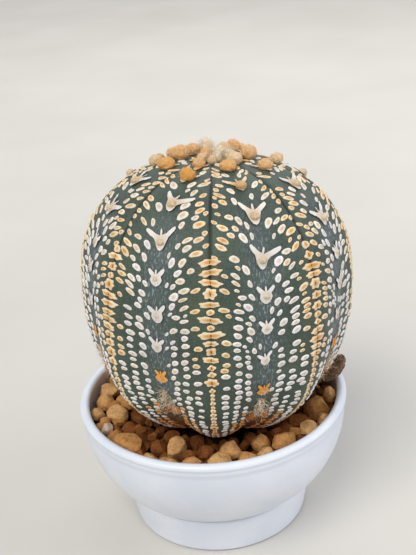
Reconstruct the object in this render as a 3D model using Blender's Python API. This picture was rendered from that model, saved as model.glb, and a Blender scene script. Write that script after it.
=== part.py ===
"""Potted round cactus: an eight-ribbed globe cactus in a shallow plastic bowl.

The origin is the centre of the pot's flat underside, +Z up and -Y the front.
Lengths are metres.  The pot, the potting soil, the plant and every stone of
the top dressing are solids of their own, each standing where it rests.
"""
import math
import random

import bmesh
import bpy
from mathutils import Matrix, Vector

MM = 0.001
NAME = "potted_round_cactus"
CLEARANCE = 0.3 * MM          # between solids that touch in the real thing

# Pot: a shallow moulded bowl on a short foot, with a rolled rim.
POT_RADIUS = 45.0 * MM        # outside, over the rolled rim
POT_HEIGHT = 45.0 * MM        # foot to the top of the rim
POT_WALL = 1.8 * MM
RIM_WIDTH = 3.2 * MM          # rolled edge, seen from above
RIM_HEIGHT = 4.6 * MM
RIM_OVERHANG = 0.6 * MM       # how far the rolled edge stands out from the wall
FOOT_RADIUS = 30.0 * MM       # at the ground
FOOT_HEIGHT = 13.0 * MM
FOOT_STEP = 0.7 * MM          # small ledge where the bowl meets the foot
FOOT_DRAFT = 1.6 * MM         # the foot is this much wider at its top
BASE_THICKNESS = 2.4 * MM
DRAIN_HOLES = 5
DRAIN_RADIUS = 4.0 * MM
DRAIN_CIRCLE = 18.0 * MM
DRAIN_TURN = math.radians(23.0)

# Potting soil under the stones.
SOIL_DEPTH = 9.4 * MM         # below the top of the rim
SOIL_CLEARANCE = 0.4 * MM     # to the pot's inner wall

# Plant: body of revolution with eight rounded ribs, on a short taproot.
BODY_RADIUS = 42.0 * MM
WAIST_ABOVE_RIM = 39.9 * MM   # widest level, above the top of the rim
CROWN_HEIGHT = 39.8 * MM      # widest level to the skin at the crown
CROWN_FULLNESS = 2.5          # exponent of the upper outline
LOWER_HEIGHT = 51.4 * MM      # widest level to the virtual tip of the base
LOWER_FULLNESS = 2.3          # exponent of the lower outline
RIBS = 8
RIB_DEPTH = 0.031             # share of the radius, at the widest level
RIB_DEEPENING = 0.020         # more of it towards the base
RIB_TURN = math.radians(-4.2)
WOOL_RADIUS = 15.0 * MM
WOOL_HEIGHT = 3.2 * MM
ROOT_RADIUS = 7.0 * MM
ROOT_LENGTH = 16.0 * MM
LEAN_RIGHT = math.radians(2.7)
LEAN_BACK = math.radians(0.75)
BODY_OFFSET = 2.1 * MM        # the plant sits this far right of the pot's axis

# Stones of the top dressing, in the order round the pot from the front.
# angle (degrees, front = 0, right = 90), distance in from the inner wall,
# height of its middle below the rim's top, and its length, width and height.
FRONT_STONES = (
    (-98, 5.6, 5.6, 7.2, 6.4, 5.4),
    (-84, 3.4, 4.8, 5.4, 4.6, 4.4),
    (-83, 9.8, 5.2, 8.8, 7.4, 6.4),
    (-69, 4.6, 4.8, 5.2, 4.4, 4.2),
    (-66, 11.4, 6.8, 6.2, 5.8, 5.4),
    (-52, 7.0, 5.2, 10.8, 8.4, 6.8),
    (-37, 12.2, 6.2, 5.8, 5.4, 5.2),
    (-35, 5.4, 6.2, 5.6, 4.8, 4.6),
    (-25, 12.4, 5.4, 5.8, 7.0, 8.4),
    (-24, 5.8, 6.2, 7.4, 4.8, 4.8),
    (-12, 7.0, 6.0, 6.8, 5.2, 5.0),
    (-7, 13.6, 7.0, 5.8, 5.6, 5.0),
    (0, 8.6, 5.6, 8.6, 6.8, 6.0),
    (9, 14.4, 6.2, 7.6, 7.0, 6.4),
    (14, 8.0, 5.8, 6.6, 6.0, 5.6),
    (25, 6.8, 6.0, 5.8, 5.0, 5.0),
    (30, 14.6, 6.4, 6.2, 6.0, 5.8),
    (37, 8.2, 5.2, 9.0, 6.6, 6.4),
    (54, 5.6, 5.2, 6.8, 6.4, 6.2),
    (50, 12.8, 6.8, 5.6, 5.4, 5.0),
    (63, 3.6, 4.8, 5.8, 4.6, 4.8),
    (75, 6.4, 4.2, 8.8, 8.4, 9.0),
    (78, 2.6, 3.0, 4.8, 4.2, 5.6),
)
BIG_ROCK = (91, 0.8, -3.2, 9.2, 6.2, 13.6)
BIG_ROCK_TILT = math.radians(42.0)    # its top leans out, along the plant's side
BACK_STONES = 26              # alternately next to the wall and next to the plant
BACK_START = math.radians(112.0)
BACK_END = math.radians(252.0)
STONE_GAP = 0.35 * MM
STONE_FLATS = (0.72, 0.90)    # how deep a grain's flat faces are cut, as shares of its half size
ROCK_FLATS = (0.90, 0.98)
STONE_SEED = 5
SETTLE_ROUNDS = 160

POT_SEGMENTS = 48
BODY_SEGMENTS = 64

rng = random.Random(STONE_SEED)


def clear_scene():
    for obj in list(bpy.data.objects):
        bpy.data.objects.remove(obj, do_unlink=True)


def new_collection(name):
    coll = bpy.data.collections.new(name)
    bpy.context.scene.collection.children.link(coll)
    return coll


def make_material(name, color, roughness):
    mat = bpy.data.materials.new(name)
    mat.use_nodes = True
    bsdf = mat.node_tree.nodes["Principled BSDF"]
    bsdf.inputs["Base Color"].default_value = (*color, 1.0)
    bsdf.inputs["Roughness"].default_value = roughness
    mat.diffuse_color = (*color, 1.0)
    return mat


def mesh_object(name, bm, coll, mat=None):
    """Turn a bmesh into an object in a collection."""
    mesh = bpy.data.meshes.new(name)
    bm.to_mesh(mesh)
    bm.free()
    mesh.shade_smooth()
    mesh.set_sharp_from_angle(angle=math.radians(40.0))
    obj = bpy.data.objects.new(name, mesh)
    coll.objects.link(obj)
    if mat:
        mesh.materials.append(mat)
    return obj


def turned(profile, segments):
    """Revolve an open (radius, height) outline that starts and ends on the axis."""
    bm = bmesh.new()
    verts = [bm.verts.new((r, 0.0, z)) for r, z in profile]
    edges = [bm.edges.new(pair) for pair in zip(verts, verts[1:])]
    bmesh.ops.spin(bm, geom=verts + edges, cent=(0, 0, 0), axis=(0, 0, 1),
                   angle=2.0 * math.pi, steps=segments, use_merge=True)
    bmesh.ops.remove_doubles(bm, verts=bm.verts, dist=1e-7)
    bmesh.ops.dissolve_degenerate(bm, edges=bm.edges, dist=1e-8)
    bmesh.ops.recalc_face_normals(bm, faces=bm.faces)
    return bm


def arc(cx, cz, rx, rz, start, end, count):
    """Points of an elliptical arc, angles in degrees from +radius towards +z."""
    steps = (math.radians(start + (end - start) * i / count) for i in range(count + 1))
    return [(cx + rx * math.cos(t), cz + rz * math.sin(t)) for t in steps]


# ---- pot -------------------------------------------------------------------

WALL_RADIUS = POT_RADIUS - RIM_OVERHANG
RIM_BOTTOM = POT_HEIGHT - RIM_HEIGHT
LEDGE_RADIUS = FOOT_RADIUS + FOOT_DRAFT
BOWL_FOOT_RADIUS = LEDGE_RADIUS - FOOT_STEP
BOWL_DEPTH = RIM_BOTTOM - FOOT_HEIGHT
BOWL_SWEEP = 52.0             # degrees of the ellipse that the bowl's side follows


def bowl_side(inset):
    """The bowl's side from under the rim to the foot, moved in by a distance."""
    sweep = math.radians(BOWL_SWEEP)
    semi_width = (WALL_RADIUS - BOWL_FOOT_RADIUS) / (1.0 - math.cos(sweep))
    semi_depth = BOWL_DEPTH / math.sin(sweep)
    return arc(WALL_RADIUS - semi_width, RIM_BOTTOM, semi_width - inset,
               semi_depth - inset, 0.0, -BOWL_SWEEP, 8)


def inner_wall(inset):
    """Inside of the pot from the rim down to the floor, as (radius, height)."""
    floor = BASE_THICKNESS + inset
    foot_inner = FOOT_RADIUS - POT_WALL - inset
    side = bowl_side(POT_WALL + inset)
    return [(POT_RADIUS - RIM_WIDTH - inset, POT_HEIGHT - 0.45 * RIM_WIDTH),
            *side,
            (foot_inner + 0.4 * FOOT_DRAFT, FOOT_HEIGHT - 2.0 * POT_WALL),
            (foot_inner, floor + POT_WALL),
            (foot_inner - POT_WALL, floor)]


def wall_radius_at(height):
    """Radius of the pot's inside at a height above its floor."""
    line = inner_wall(0.0)
    for (r1, z1), (r2, z2) in zip(line, line[1:]):
        if z2 <= height <= z1:
            return r2 + (r1 - r2) * (height - z2) / (z1 - z2)
    return line[0][0]


def make_pot(coll, cutters, mat):
    half = 0.5 * RIM_WIDTH
    lip = arc(POT_RADIUS - half, POT_HEIGHT - 0.9 * half, half, 0.9 * half, 180.0, -20.0, 7)
    lip_foot = (POT_RADIUS - 0.25 * RIM_OVERHANG, RIM_BOTTOM + 0.25 * RIM_HEIGHT)
    inside = [(0.0, BASE_THICKNESS), *reversed(inner_wall(0.0))]
    edge = 1.0 * MM
    outside = [lip_foot, *bowl_side(0.0),
               (LEDGE_RADIUS, FOOT_HEIGHT - 0.4 * FOOT_STEP),
               (LEDGE_RADIUS, FOOT_HEIGHT - 1.6 * FOOT_STEP),
               (FOOT_RADIUS, edge), (FOOT_RADIUS - 0.3 * edge, 0.3 * edge),
               (FOOT_RADIUS - edge, 0.0), (0.0, 0.0)]
    pot = mesh_object("pot", turned([*inside, *lip, *outside], POT_SEGMENTS), coll, mat)
    for i in range(DRAIN_HOLES):
        turn = 2.0 * math.pi * i / DRAIN_HOLES + DRAIN_TURN
        bm = bmesh.new()
        place = Matrix.Translation((DRAIN_CIRCLE * math.sin(turn),
                                    -DRAIN_CIRCLE * math.cos(turn), 0.5 * BASE_THICKNESS))
        bmesh.ops.create_cone(bm, cap_ends=True, segments=18, radius1=DRAIN_RADIUS,
                              radius2=DRAIN_RADIUS, depth=3.0 * BASE_THICKNESS, matrix=place)
        cut(pot, mesh_object(f"drain_cutter_{i + 1}", bm, cutters))
    return pot


def cut(obj, cutter):
    cutter.hide_render = True
    cutter.display_type = "WIRE"
    boolean = obj.modifiers.new(cutter.name, "BOOLEAN")
    boolean.operation = "DIFFERENCE"
    boolean.object = cutter


# ---- plant -----------------------------------------------------------------

WAIST = POT_HEIGHT + WAIST_ABOVE_RIM
ROOT_JOIN = 0.86              # share of the lower height where the taproot starts
BASE_LEVEL = WAIST - LOWER_HEIGHT
RIB_LEVEL = 0.5 * (CROWN_HEIGHT + LOWER_HEIGHT)


def upper_radius(height):
    share = min(1.0, height / CROWN_HEIGHT)
    return BODY_RADIUS * (1.0 - share ** CROWN_FULLNESS) ** (1.0 / CROWN_FULLNESS)


def lower_radius(depth):
    share = min(1.0, depth / LOWER_HEIGHT)
    return BODY_RADIUS * (1.0 - share ** LOWER_FULLNESS) ** (1.0 / LOWER_FULLNESS)


def body_outline(grow=0.0):
    """Plant outline from the root tip up to the crown, as (radius, height)."""
    join_depth = ROOT_JOIN * LOWER_HEIGHT
    points = [(0.0, WAIST - join_depth - ROOT_LENGTH - grow),
              (0.45 * ROOT_RADIUS + grow, WAIST - join_depth - ROOT_LENGTH - grow),
              (ROOT_RADIUS + grow, WAIST - 1.02 * LOWER_HEIGHT - grow)]
    for i in range(6):
        t = math.radians(78.0 - 7.0 * i)
        depth = LOWER_HEIGHT * math.sin(t) ** (2.0 / LOWER_FULLNESS)
        points.append((lower_radius(depth) + grow, WAIST - depth - grow))
    for i in range(6):
        t = math.radians(36.0 - 7.2 * i)
        depth = LOWER_HEIGHT * math.sin(t) ** (2.0 / LOWER_FULLNESS)
        points.append((lower_radius(depth) + grow, WAIST - depth))
    crown_turn = math.acos((WOOL_RADIUS / BODY_RADIUS) ** (0.5 * CROWN_FULLNESS))
    for i in range(1, 11):
        height = CROWN_HEIGHT * math.sin(0.1 * crown_turn * i) ** (2.0 / CROWN_FULLNESS)
        points.append((upper_radius(height) + grow, WAIST + height))
    return points


def wool_outline(start_radius, start_height):
    """The woolly crown: a low dome that rises from the skin to the axis."""
    top = WAIST + CROWN_HEIGHT + WOOL_HEIGHT
    points = []
    for i in range(1, 5):
        t = math.radians(22.5 * i)
        points.append((start_radius * math.cos(t),
                       start_height + (top - start_height) * math.sin(t)))
    points[-1] = (0.0, top)
    return points


def rib_swell(angle, height):
    """Ribs as a share of the radius: full on the ridges, hollow between them."""
    level = (WAIST - height) / RIB_LEVEL
    depth = RIB_DEPTH + RIB_DEEPENING * level
    fade = min(1.0, max(0.0, (height - BASE_LEVEL) / (9.0 * MM)))
    top_fade = min(1.0, max(0.0, (WAIST + CROWN_HEIGHT - height) / (6.0 * MM)))
    return max(0.0, depth) * fade * top_fade * math.cos(RIBS * (angle - RIB_TURN))


def lean_matrix():
    """The plant's lean and place, turned about the middle of the rim."""
    seat = Vector((0.0, 0.0, POT_HEIGHT))
    lean = Matrix.Rotation(-LEAN_BACK, 4, "X") @ Matrix.Rotation(LEAN_RIGHT, 4, "Y")
    shift = Matrix.Translation((BODY_OFFSET, 0.0, 0.0))
    return shift @ Matrix.Translation(seat) @ lean @ Matrix.Translation(-seat)


def make_body(coll, mat):
    outline = body_outline()
    bm = turned([*outline, *wool_outline(*outline[-1])], BODY_SEGMENTS)
    for vert in bm.verts:
        angle = math.atan2(vert.co.x, -vert.co.y)
        swell = 1.0 + rib_swell(angle, vert.co.z)
        vert.co.x *= swell
        vert.co.y *= swell
    bmesh.ops.transform(bm, matrix=lean_matrix(), verts=bm.verts)
    return mesh_object("cactus_body", bm, coll, mat)


# ---- soil ------------------------------------------------------------------

SOIL_TOP = POT_HEIGHT - SOIL_DEPTH


def make_soil(coll, cutters, mat):
    """Soil that fills the pot, hollowed to take the plant's base and root."""
    side = [p for p in inner_wall(SOIL_CLEARANCE) if p[1] < SOIL_TOP - 0.5 * MM]
    top_radius = wall_radius_at(SOIL_TOP) - SOIL_CLEARANCE
    outline = [(0.0, SOIL_TOP), (top_radius - 1.2 * MM, SOIL_TOP),
               (top_radius - 0.2 * MM, SOIL_TOP - 0.8 * MM), *side,
               (0.0, BASE_THICKNESS + SOIL_CLEARANCE)]
    soil = mesh_object("potting_soil", turned(outline, POT_SEGMENTS), coll, mat)
    grow = CLEARANCE + 0.3 * MM
    hollow = [p for p in body_outline(grow) if p[1] < WAIST]
    hollow.append((0.0, hollow[-1][1]))
    bm = turned(hollow, 40)
    bmesh.ops.scale(bm, vec=(1.06, 1.06, 1.0), verts=bm.verts)
    bmesh.ops.transform(bm, matrix=lean_matrix(), verts=bm.verts)
    cut(soil, mesh_object("plant_hollow_cutter", bm, cutters))
    return soil


# ---- stones ----------------------------------------------------------------

class Stone:
    """A grain as a turned ellipsoid that settles clear of its neighbours."""

    def __init__(self, angle, radius, height, size, yaw, tilt):
        self.centre = Vector((radius * math.sin(angle), -radius * math.cos(angle), height))
        self.half = [0.5 * s for s in size]
        self.turn = Matrix.Rotation(angle + yaw, 3, "Z") @ Matrix.Rotation(tilt, 3, "X")
        self.scale = 1.0
        self.wedged = False       # a wedged stone keeps its place

    def reach(self, direction):
        """Half the stone's extent along a unit direction."""
        local = self.turn.transposed() @ direction
        return self.scale * math.sqrt(sum((h * d) ** 2 for h, d in zip(self.half, local)))


def body_limits(angle):
    """The plant's outline next to an angle, as (radius, height) on its leaning axis."""
    near = [angle + math.radians(turn) for turn in (-8.0, -4.0, 0.0, 4.0, 8.0)]
    return [(r * (1.0 + max(rib_swell(a, z) for a in near)), z)
            for r, z in body_outline() if z < WAIST]


def nearest(line, r, z):
    """Nearest point of an outline, as (radius, height)."""
    best = None
    for (r1, z1), (r2, z2) in zip(line, line[1:]):
        span = (r2 - r1) ** 2 + (z2 - z1) ** 2
        t = max(0.0, min(1.0, ((r - r1) * (r2 - r1) + (z - z1) * (z2 - z1)) / span))
        point = (r1 + t * (r2 - r1), z1 + t * (z2 - z1))
        gap = math.hypot(r - point[0], z - point[1])
        if best is None or gap < best[0]:
            best = (gap, point)
    return best


def limits_of(stone, plant_axis, wall):
    """(room, needed, way out) for the plant, the pot's wall and the soil."""
    rows = []
    local = plant_axis.inverted() @ stone.centre
    radial = Vector((local.x, local.y, 0.0)).normalized()
    radius = math.hypot(local.x, local.y)
    plant = body_limits(math.atan2(local.x, -local.y))
    gap, (r, z) = nearest(plant, radius, local.z)
    way = (radial * (radius - r) + Vector((0.0, 0.0, local.z - z))).normalized()
    way = (plant_axis.to_3x3() @ way).normalized()
    rows.append((gap, stone.reach(way) + STONE_GAP, way))
    radius = math.hypot(stone.centre.x, stone.centre.y)
    radial = Vector((stone.centre.x, stone.centre.y, 0.0)).normalized()
    gap, (r, z) = nearest(wall, radius, stone.centre.z)
    way = (radial * (radius - r) + Vector((0.0, 0.0, stone.centre.z - z))).normalized()
    along = stone.reach(Vector((-radial.y, radial.x, 0.0)))
    bow = (along ** 2 + stone.half[2] ** 2) / (2.0 * r)      # the wall curves in past a stone's ends
    rows.append((gap, stone.reach(way) + STONE_GAP + bow, way))
    up = Vector((0.0, 0.0, 1.0))
    rows.append((stone.centre.z - SOIL_TOP, stone.reach(up) + STONE_GAP, up))
    return rows


def pair_room(a, b):
    way = a.centre - b.centre
    distance = way.length
    way.normalize()
    return distance, a.reach(way) + b.reach(way) + STONE_GAP, way


def settle(stones, plant_axis, wall):
    """Push the stones apart, then shrink any that still have too little room."""
    for _ in range(SETTLE_ROUNDS):
        for i, a in enumerate(stones):
            for b in stones[:i]:
                distance, needed, way = pair_room(a, b)
                if distance < needed:
                    push = (needed - distance) * way
                    a.centre += push * (0.0 if a.wedged else 1.0 if b.wedged else 0.5)
                    b.centre -= push * (0.0 if b.wedged else 1.0 if a.wedged else 0.5)
            for room, needed, way in limits_of(a, plant_axis, wall):
                if room < needed and not a.wedged:
                    a.centre += (needed - room) * way
    for i, a in enumerate(stones):
        for b in stones[:i]:
            distance, needed, _ = pair_room(a, b)
            if distance < needed:
                share = (distance - STONE_GAP) / (needed - STONE_GAP)
                a.scale *= share
                b.scale *= share
        for room, needed, _ in limits_of(a, plant_axis, wall):
            if room < needed:
                a.scale *= (room - STONE_GAP) / (needed - STONE_GAP)


def stone_at(angle_deg, inset, depth, length, width, height, tilt=None):
    """A stone whose inset, depth and size are millimetres, from the pot's own wall.

    One with a stated tilt is wedged where it stands.
    """
    z = POT_HEIGHT - depth * MM
    radius = wall_radius_at(z) - inset * MM
    yaw = rng.uniform(-0.35, 0.35)
    lie = rng.uniform(-0.15, 0.15)
    size = (length * MM, width * MM, height * MM)
    if tilt is None:
        return Stone(math.radians(angle_deg), radius, z, size, yaw, lie)
    stone = Stone(math.radians(angle_deg), radius, z, size, 0.0, tilt)
    stone.wedged = True
    return stone


def make_stone(name, stone, flats, coll, mat):
    """A many-sided grain: an icosphere flattened by a few planes."""
    bm = bmesh.new()
    bmesh.ops.create_icosphere(bm, subdivisions=2, radius=1.0)
    for _ in range(7):
        way = Vector([rng.gauss(0.0, 1.0) for _ in range(3)]).normalized()
        flat = rng.uniform(*flats)
        for vert in bm.verts:
            over = vert.co.dot(way) - flat
            if over > 0.0:
                vert.co -= over * way
    size = Matrix.Diagonal([h * stone.scale for h in stone.half])
    turn = stone.turn @ size
    for vert in bm.verts:
        vert.co = turn @ vert.co + stone.centre
    return mesh_object(name, bm, coll, mat)


def make_stones(coll, mats):
    stones = [stone_at(*row) for row in FRONT_STONES]
    stones.append(stone_at(*BIG_ROCK, tilt=BIG_ROCK_TILT))
    for i in range(BACK_STONES):
        angle = BACK_START + (BACK_END - BACK_START) * i / (BACK_STONES - 1)
        size = [rng.uniform(6.6, 9.4), rng.uniform(6.0, 7.8), rng.uniform(5.2, 6.6)]
        inset = 4.4 if i % 2 == 0 else 11.6
        stones.append(stone_at(math.degrees(angle), inset, 6.0, *size))
    lip_top = (POT_RADIUS - 0.5 * RIM_WIDTH, POT_HEIGHT)
    settle(stones, lean_matrix(), [lip_top, *inner_wall(0.0)])
    rock = len(FRONT_STONES)
    for i, stone in enumerate(stones):
        if i == rock:
            make_stone("big_rock", stone, ROCK_FLATS, coll, mats["rock"])
        else:
            number = i + 1 if i < rock else i
            make_stone(f"stone_{number:02d}", stone, STONE_FLATS, coll, mats["stone"])


def main():
    clear_scene()
    parts = new_collection(NAME)
    cutters = new_collection("cutters")
    mats = {
        "pot": make_material("white_plastic", (0.82, 0.84, 0.88), 0.30),
        "soil": make_material("potting_soil", (0.10, 0.06, 0.04), 0.95),
        "skin": make_material("cactus_skin", (0.07, 0.11, 0.08), 0.60),
        "stone": make_material("baked_clay_grain", (0.52, 0.29, 0.11), 0.90),
        "rock": make_material("grey_brown_rock", (0.26, 0.17, 0.12), 0.95),
    }
    make_pot(parts, cutters, mats["pot"])
    make_soil(parts, cutters, mats["soil"])
    make_body(parts, mats["skin"])
    make_stones(parts, mats)


main()
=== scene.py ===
"""Potted round cactus: the looks of the plant, its pot and its stones.

Lengths are metres in the frame's own axes.  The plant's skin is one curved
surface, described by skin(); the flecks, wool and fibres are laid on it.
"""
import math
import random

import bmesh
import bpy
import numpy as np
from mathutils import Matrix, Vector, noise


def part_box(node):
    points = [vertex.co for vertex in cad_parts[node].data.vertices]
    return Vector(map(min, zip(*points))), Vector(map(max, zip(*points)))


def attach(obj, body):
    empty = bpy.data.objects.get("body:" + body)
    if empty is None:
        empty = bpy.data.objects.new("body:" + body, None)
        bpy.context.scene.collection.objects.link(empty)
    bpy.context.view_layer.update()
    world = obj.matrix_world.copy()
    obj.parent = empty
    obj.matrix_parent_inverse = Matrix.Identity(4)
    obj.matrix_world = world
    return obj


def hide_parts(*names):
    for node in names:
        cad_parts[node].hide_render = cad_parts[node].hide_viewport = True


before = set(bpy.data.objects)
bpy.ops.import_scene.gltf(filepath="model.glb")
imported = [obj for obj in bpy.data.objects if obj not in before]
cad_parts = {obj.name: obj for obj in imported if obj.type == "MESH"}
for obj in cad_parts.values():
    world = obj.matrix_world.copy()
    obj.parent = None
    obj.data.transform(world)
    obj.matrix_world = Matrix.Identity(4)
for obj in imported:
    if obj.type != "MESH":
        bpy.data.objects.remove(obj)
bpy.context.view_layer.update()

MM = 0.001
TAU = 2.0 * math.pi

# Sizes of the solids, as the frame has them.
POT_RADIUS = 45.0 * MM
POT_HEIGHT = 45.0 * MM
POT_WALL = 1.8 * MM
RIM_WIDTH = 3.2 * MM
RIM_HEIGHT = 4.6 * MM
RIM_OVERHANG = 0.6 * MM
FOOT_RADIUS = 30.0 * MM
FOOT_HEIGHT = 13.0 * MM
FOOT_STEP = 0.7 * MM
FOOT_DRAFT = 1.6 * MM
BASE_THICKNESS = 2.4 * MM
DRAIN_HOLES = 5
DRAIN_RADIUS = 4.0 * MM
DRAIN_CIRCLE = 18.0 * MM
DRAIN_TURN = math.radians(23.0)

BODY_RADIUS = 42.0 * MM
WAIST = POT_HEIGHT + 39.9 * MM
CROWN_HEIGHT = 39.8 * MM
CROWN_FULLNESS = 2.5
LOWER_HEIGHT = 51.4 * MM
LOWER_FULLNESS = 2.3
RIBS = 8
RIB_DEPTH = 0.031
RIB_DEEPENING = 0.020
RIB_TURN = math.radians(-4.2)
ROOT_RADIUS = 7.0 * MM
ROOT_LENGTH = 16.0 * MM
LEAN_RIGHT = math.radians(2.7)
LEAN_BACK = math.radians(0.75)
BODY_OFFSET = 2.1 * MM
CROWN_DRIFT = 5.0 * MM
BASE_CALM = 0.6
BASE_PINCH = 0.06
BASE_LIFT = 1.2 * MM
BASE_SCALLOP = 1.0 * MM

SKIN_COLUMNS, SKIN_ROWS = 400, 210
CREASE_CROWDING = 0.72        # how far the skin's columns crowd at the creases

SOIL_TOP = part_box("potting_soil")[1].z

rng = random.Random(11)


# ---- helpers ---------------------------------------------------------------

def paint(hex_colour):
    """An sRGB hex value as a linear colour."""
    parts = [int(hex_colour[i:i + 2], 16) / 255.0 for i in (1, 3, 5)]
    linear = [c / 12.92 if c <= 0.04045 else ((c + 0.055) / 1.055) ** 2.4 for c in parts]
    return (*linear, 1.0)


def node(mat, kind, settings=None, ramp=(), **inputs):
    """Add a shader node; an input takes a value, a node or one output of a node.

    A colour ramp's stops are (position, hex colour) pairs, in order.
    """
    made = mat.node_tree.nodes.new("ShaderNode" + kind)
    for name, value in (settings or {}).items():
        setattr(made, name, value)
    for i, (position, colour) in enumerate(ramp):
        elements = made.color_ramp.elements
        element = elements[i] if i < len(elements) else elements.new(position)
        element.position = position
        element.color = paint(colour)
    for name, value in inputs.items():
        key = int(name[1:]) if name[0] == "i" and name[1:].isdigit() else name.replace("_", " ")
        if isinstance(value, bpy.types.Node):
            value = value.outputs[0]
        if isinstance(value, bpy.types.NodeSocket):
            mat.node_tree.links.new(value, made.inputs[key])
        else:
            made.inputs[key].default_value = value
    return made


def new_material(name):
    """A bare material and its Object coordinates."""
    mat = bpy.data.materials.new(name)
    mat.use_nodes = True
    mat.node_tree.nodes.clear()
    return mat, node(mat, "TexCoord").outputs["Object"]


def finish_material(mat, **inputs):
    node(mat, "OutputMaterial", Surface=node(mat, "BsdfPrincipled", **inputs))
    return mat


def add_piece(name, mesh, mat, replaced=()):
    """Put a finished mesh in the scene as a piece of the object."""
    mesh.materials.clear()
    mesh.materials.append(mat)
    obj = bpy.data.objects.new(name, mesh)
    bpy.context.scene.collection.objects.link(obj)
    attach(obj, "root")
    if replaced:
        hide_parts(*replaced)
    return obj


def to_mesh(name, bm, smooth=True):
    mesh = bpy.data.meshes.new(name)
    bm.to_mesh(mesh)
    bm.free()
    if smooth:
        mesh.shade_smooth()
    return mesh


def coords(mesh):
    co = np.empty(len(mesh.vertices) * 3, np.float32)
    mesh.vertices.foreach_get("co", co)
    return co.reshape(-1, 3).astype(float)


def set_coords(mesh, co):
    mesh.vertices.foreach_set("co", np.asarray(co, np.float32).ravel())
    mesh.update()


def set_attribute(mesh, name, values):
    attribute = mesh.attributes.new(name, "FLOAT", "POINT")
    attribute.data.foreach_set("value", np.asarray(values, np.float32))


def smoothstep(low, high, x):
    t = np.clip((x - low) / (high - low), 0.0, 1.0)
    return t * t * (3.0 - 2.0 * t)


# ---- the plant's surface -----------------------------------------------------

def body_line():
    """The plant's outline from the crown to the root tip, as (radius, height) rows."""
    rows = []
    for i in range(61):
        t = math.radians(90.0 - 1.5 * i)
        rows.append((BODY_RADIUS * math.cos(t) ** (2.0 / CROWN_FULLNESS) if i else 0.0,
                     WAIST + CROWN_HEIGHT * math.sin(t) ** (2.0 / CROWN_FULLNESS)))
    for i in range(1, 66):
        t = math.radians(1.2 * i)
        rows.append((BODY_RADIUS * math.cos(t) ** (2.0 / LOWER_FULLNESS),
                     WAIST - LOWER_HEIGHT * math.sin(t) ** (2.0 / LOWER_FULLNESS)))
    neck = rows[-1][1]
    tip = WAIST - 0.86 * LOWER_HEIGHT - ROOT_LENGTH
    for i in range(1, 9):
        share = i / 8.0
        rows.append((ROOT_RADIUS * (1.0 - 0.55 * share), neck - 0.8 * MM - (neck - tip) * share))
    rows.append((0.0, rows[-1][1] - 0.6 * MM))
    return np.array(rows)


LINE = body_line()
LENGTHS = np.concatenate([[0.0], np.cumsum(np.hypot(*np.diff(LINE, axis=0).T))])
BODY_END = LENGTHS[126]       # where the skin gives way to the root
ROOT_END = LENGTHS[-1]
BASE_HEIGHT = POT_HEIGHT + 12.0 * MM
FLECKS_END = 0.9 * BODY_END   # below this the skin is hidden by stones


def lean_matrix():
    seat = Vector((0.0, 0.0, POT_HEIGHT))
    lean = Matrix.Rotation(-LEAN_BACK, 4, "X") @ Matrix.Rotation(LEAN_RIGHT, 4, "Y")
    shift = Matrix.Translation((BODY_OFFSET, 0.0, 0.0))
    return shift @ Matrix.Translation(seat) @ lean @ Matrix.Translation(-seat)


LEAN = np.array(lean_matrix())


def crease_distance(angle):
    """Angle to the nearest crease between two ribs, with its sign."""
    step = TAU / RIBS
    turned = (angle - RIB_TURN) / step
    return (turned - np.round(turned)) * step


def upright(angle, along):
    """Point of the skin before the plant's lean, from an angle and a length down from the crown."""
    r = np.interp(along, LENGTHS, LINE[:, 0])
    z = np.interp(along, LENGTHS, LINE[:, 1])
    # the growing point sits behind the middle, and the ribs swing back to it
    drift = CROWN_DRIFT * (1.0 - smoothstep(8.0 * MM, 50.0 * MM, along))
    across = r * np.sin(angle)
    forward = r * np.cos(angle) - drift
    turned = np.arctan2(across, forward)
    moved = np.hypot(across, forward)
    z = np.where(along < LENGTHS[55], np.interp(moved, LINE[:61, 0], LINE[:61, 1]), z)
    r = moved
    level = (WAIST - z) / (0.5 * (CROWN_HEIGHT + LOWER_HEIGHT))
    skin_part = 1.0 - smoothstep(BODY_END - 6.0 * MM, BODY_END, along)
    wave = np.cos(RIBS * (angle - RIB_TURN))
    crown = smoothstep(2.0 * MM, 14.0 * MM, along)
    swell = (RIB_DEPTH + RIB_DEEPENING * level) * wave * crown * skin_part
    low = 1.0 - smoothstep(POT_HEIGHT - 6.0 * MM, BASE_HEIGHT, z)
    swell = swell * (1.0 - BASE_CALM * low) - BASE_PINCH * low * skin_part * (0.5 - 0.5 * wave) ** 2
    lifted = skin_part * (1.0 - smoothstep(POT_HEIGHT, POT_HEIGHT + 24.0 * MM, z))
    z = z + lifted * (BASE_LIFT + BASE_SCALLOP * (0.5 - 0.5 * wave))
    # a narrow furrow along each crease, deepest near the crown
    gap = np.abs(crease_distance(angle)) * r
    depth = (0.35 + 0.95 * (1.0 - smoothstep(18.0 * MM, 46.0 * MM, along))) * MM
    furrow = depth * np.exp(-(gap / (0.62 * MM)) ** 2) * skin_part * smoothstep(1.0 * MM, 6.0 * MM, along)
    broad = 0.55 * MM * np.exp(-(gap / (2.2 * MM)) ** 2) * crown
    broad = broad * (1.0 - smoothstep(30.0 * MM, 60.0 * MM, along))
    uneven = 0.11 * MM * np.sin(37.0 * angle + 220.0 * along) * np.sin(5.0 * angle - 410.0 * along)
    r = r * (1.0 + swell) - furrow - broad + uneven * crown * skin_part
    r = np.maximum(r, 0.0)
    dip = 1.2 * MM * (1.0 - smoothstep(0.0, 11.0 * MM, along))
    return np.stack([r * np.sin(turned), -r * np.cos(turned), z - dip], -1)


def leaned(points):
    return points @ LEAN[:3, :3].T + LEAN[:3, 3]


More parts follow.
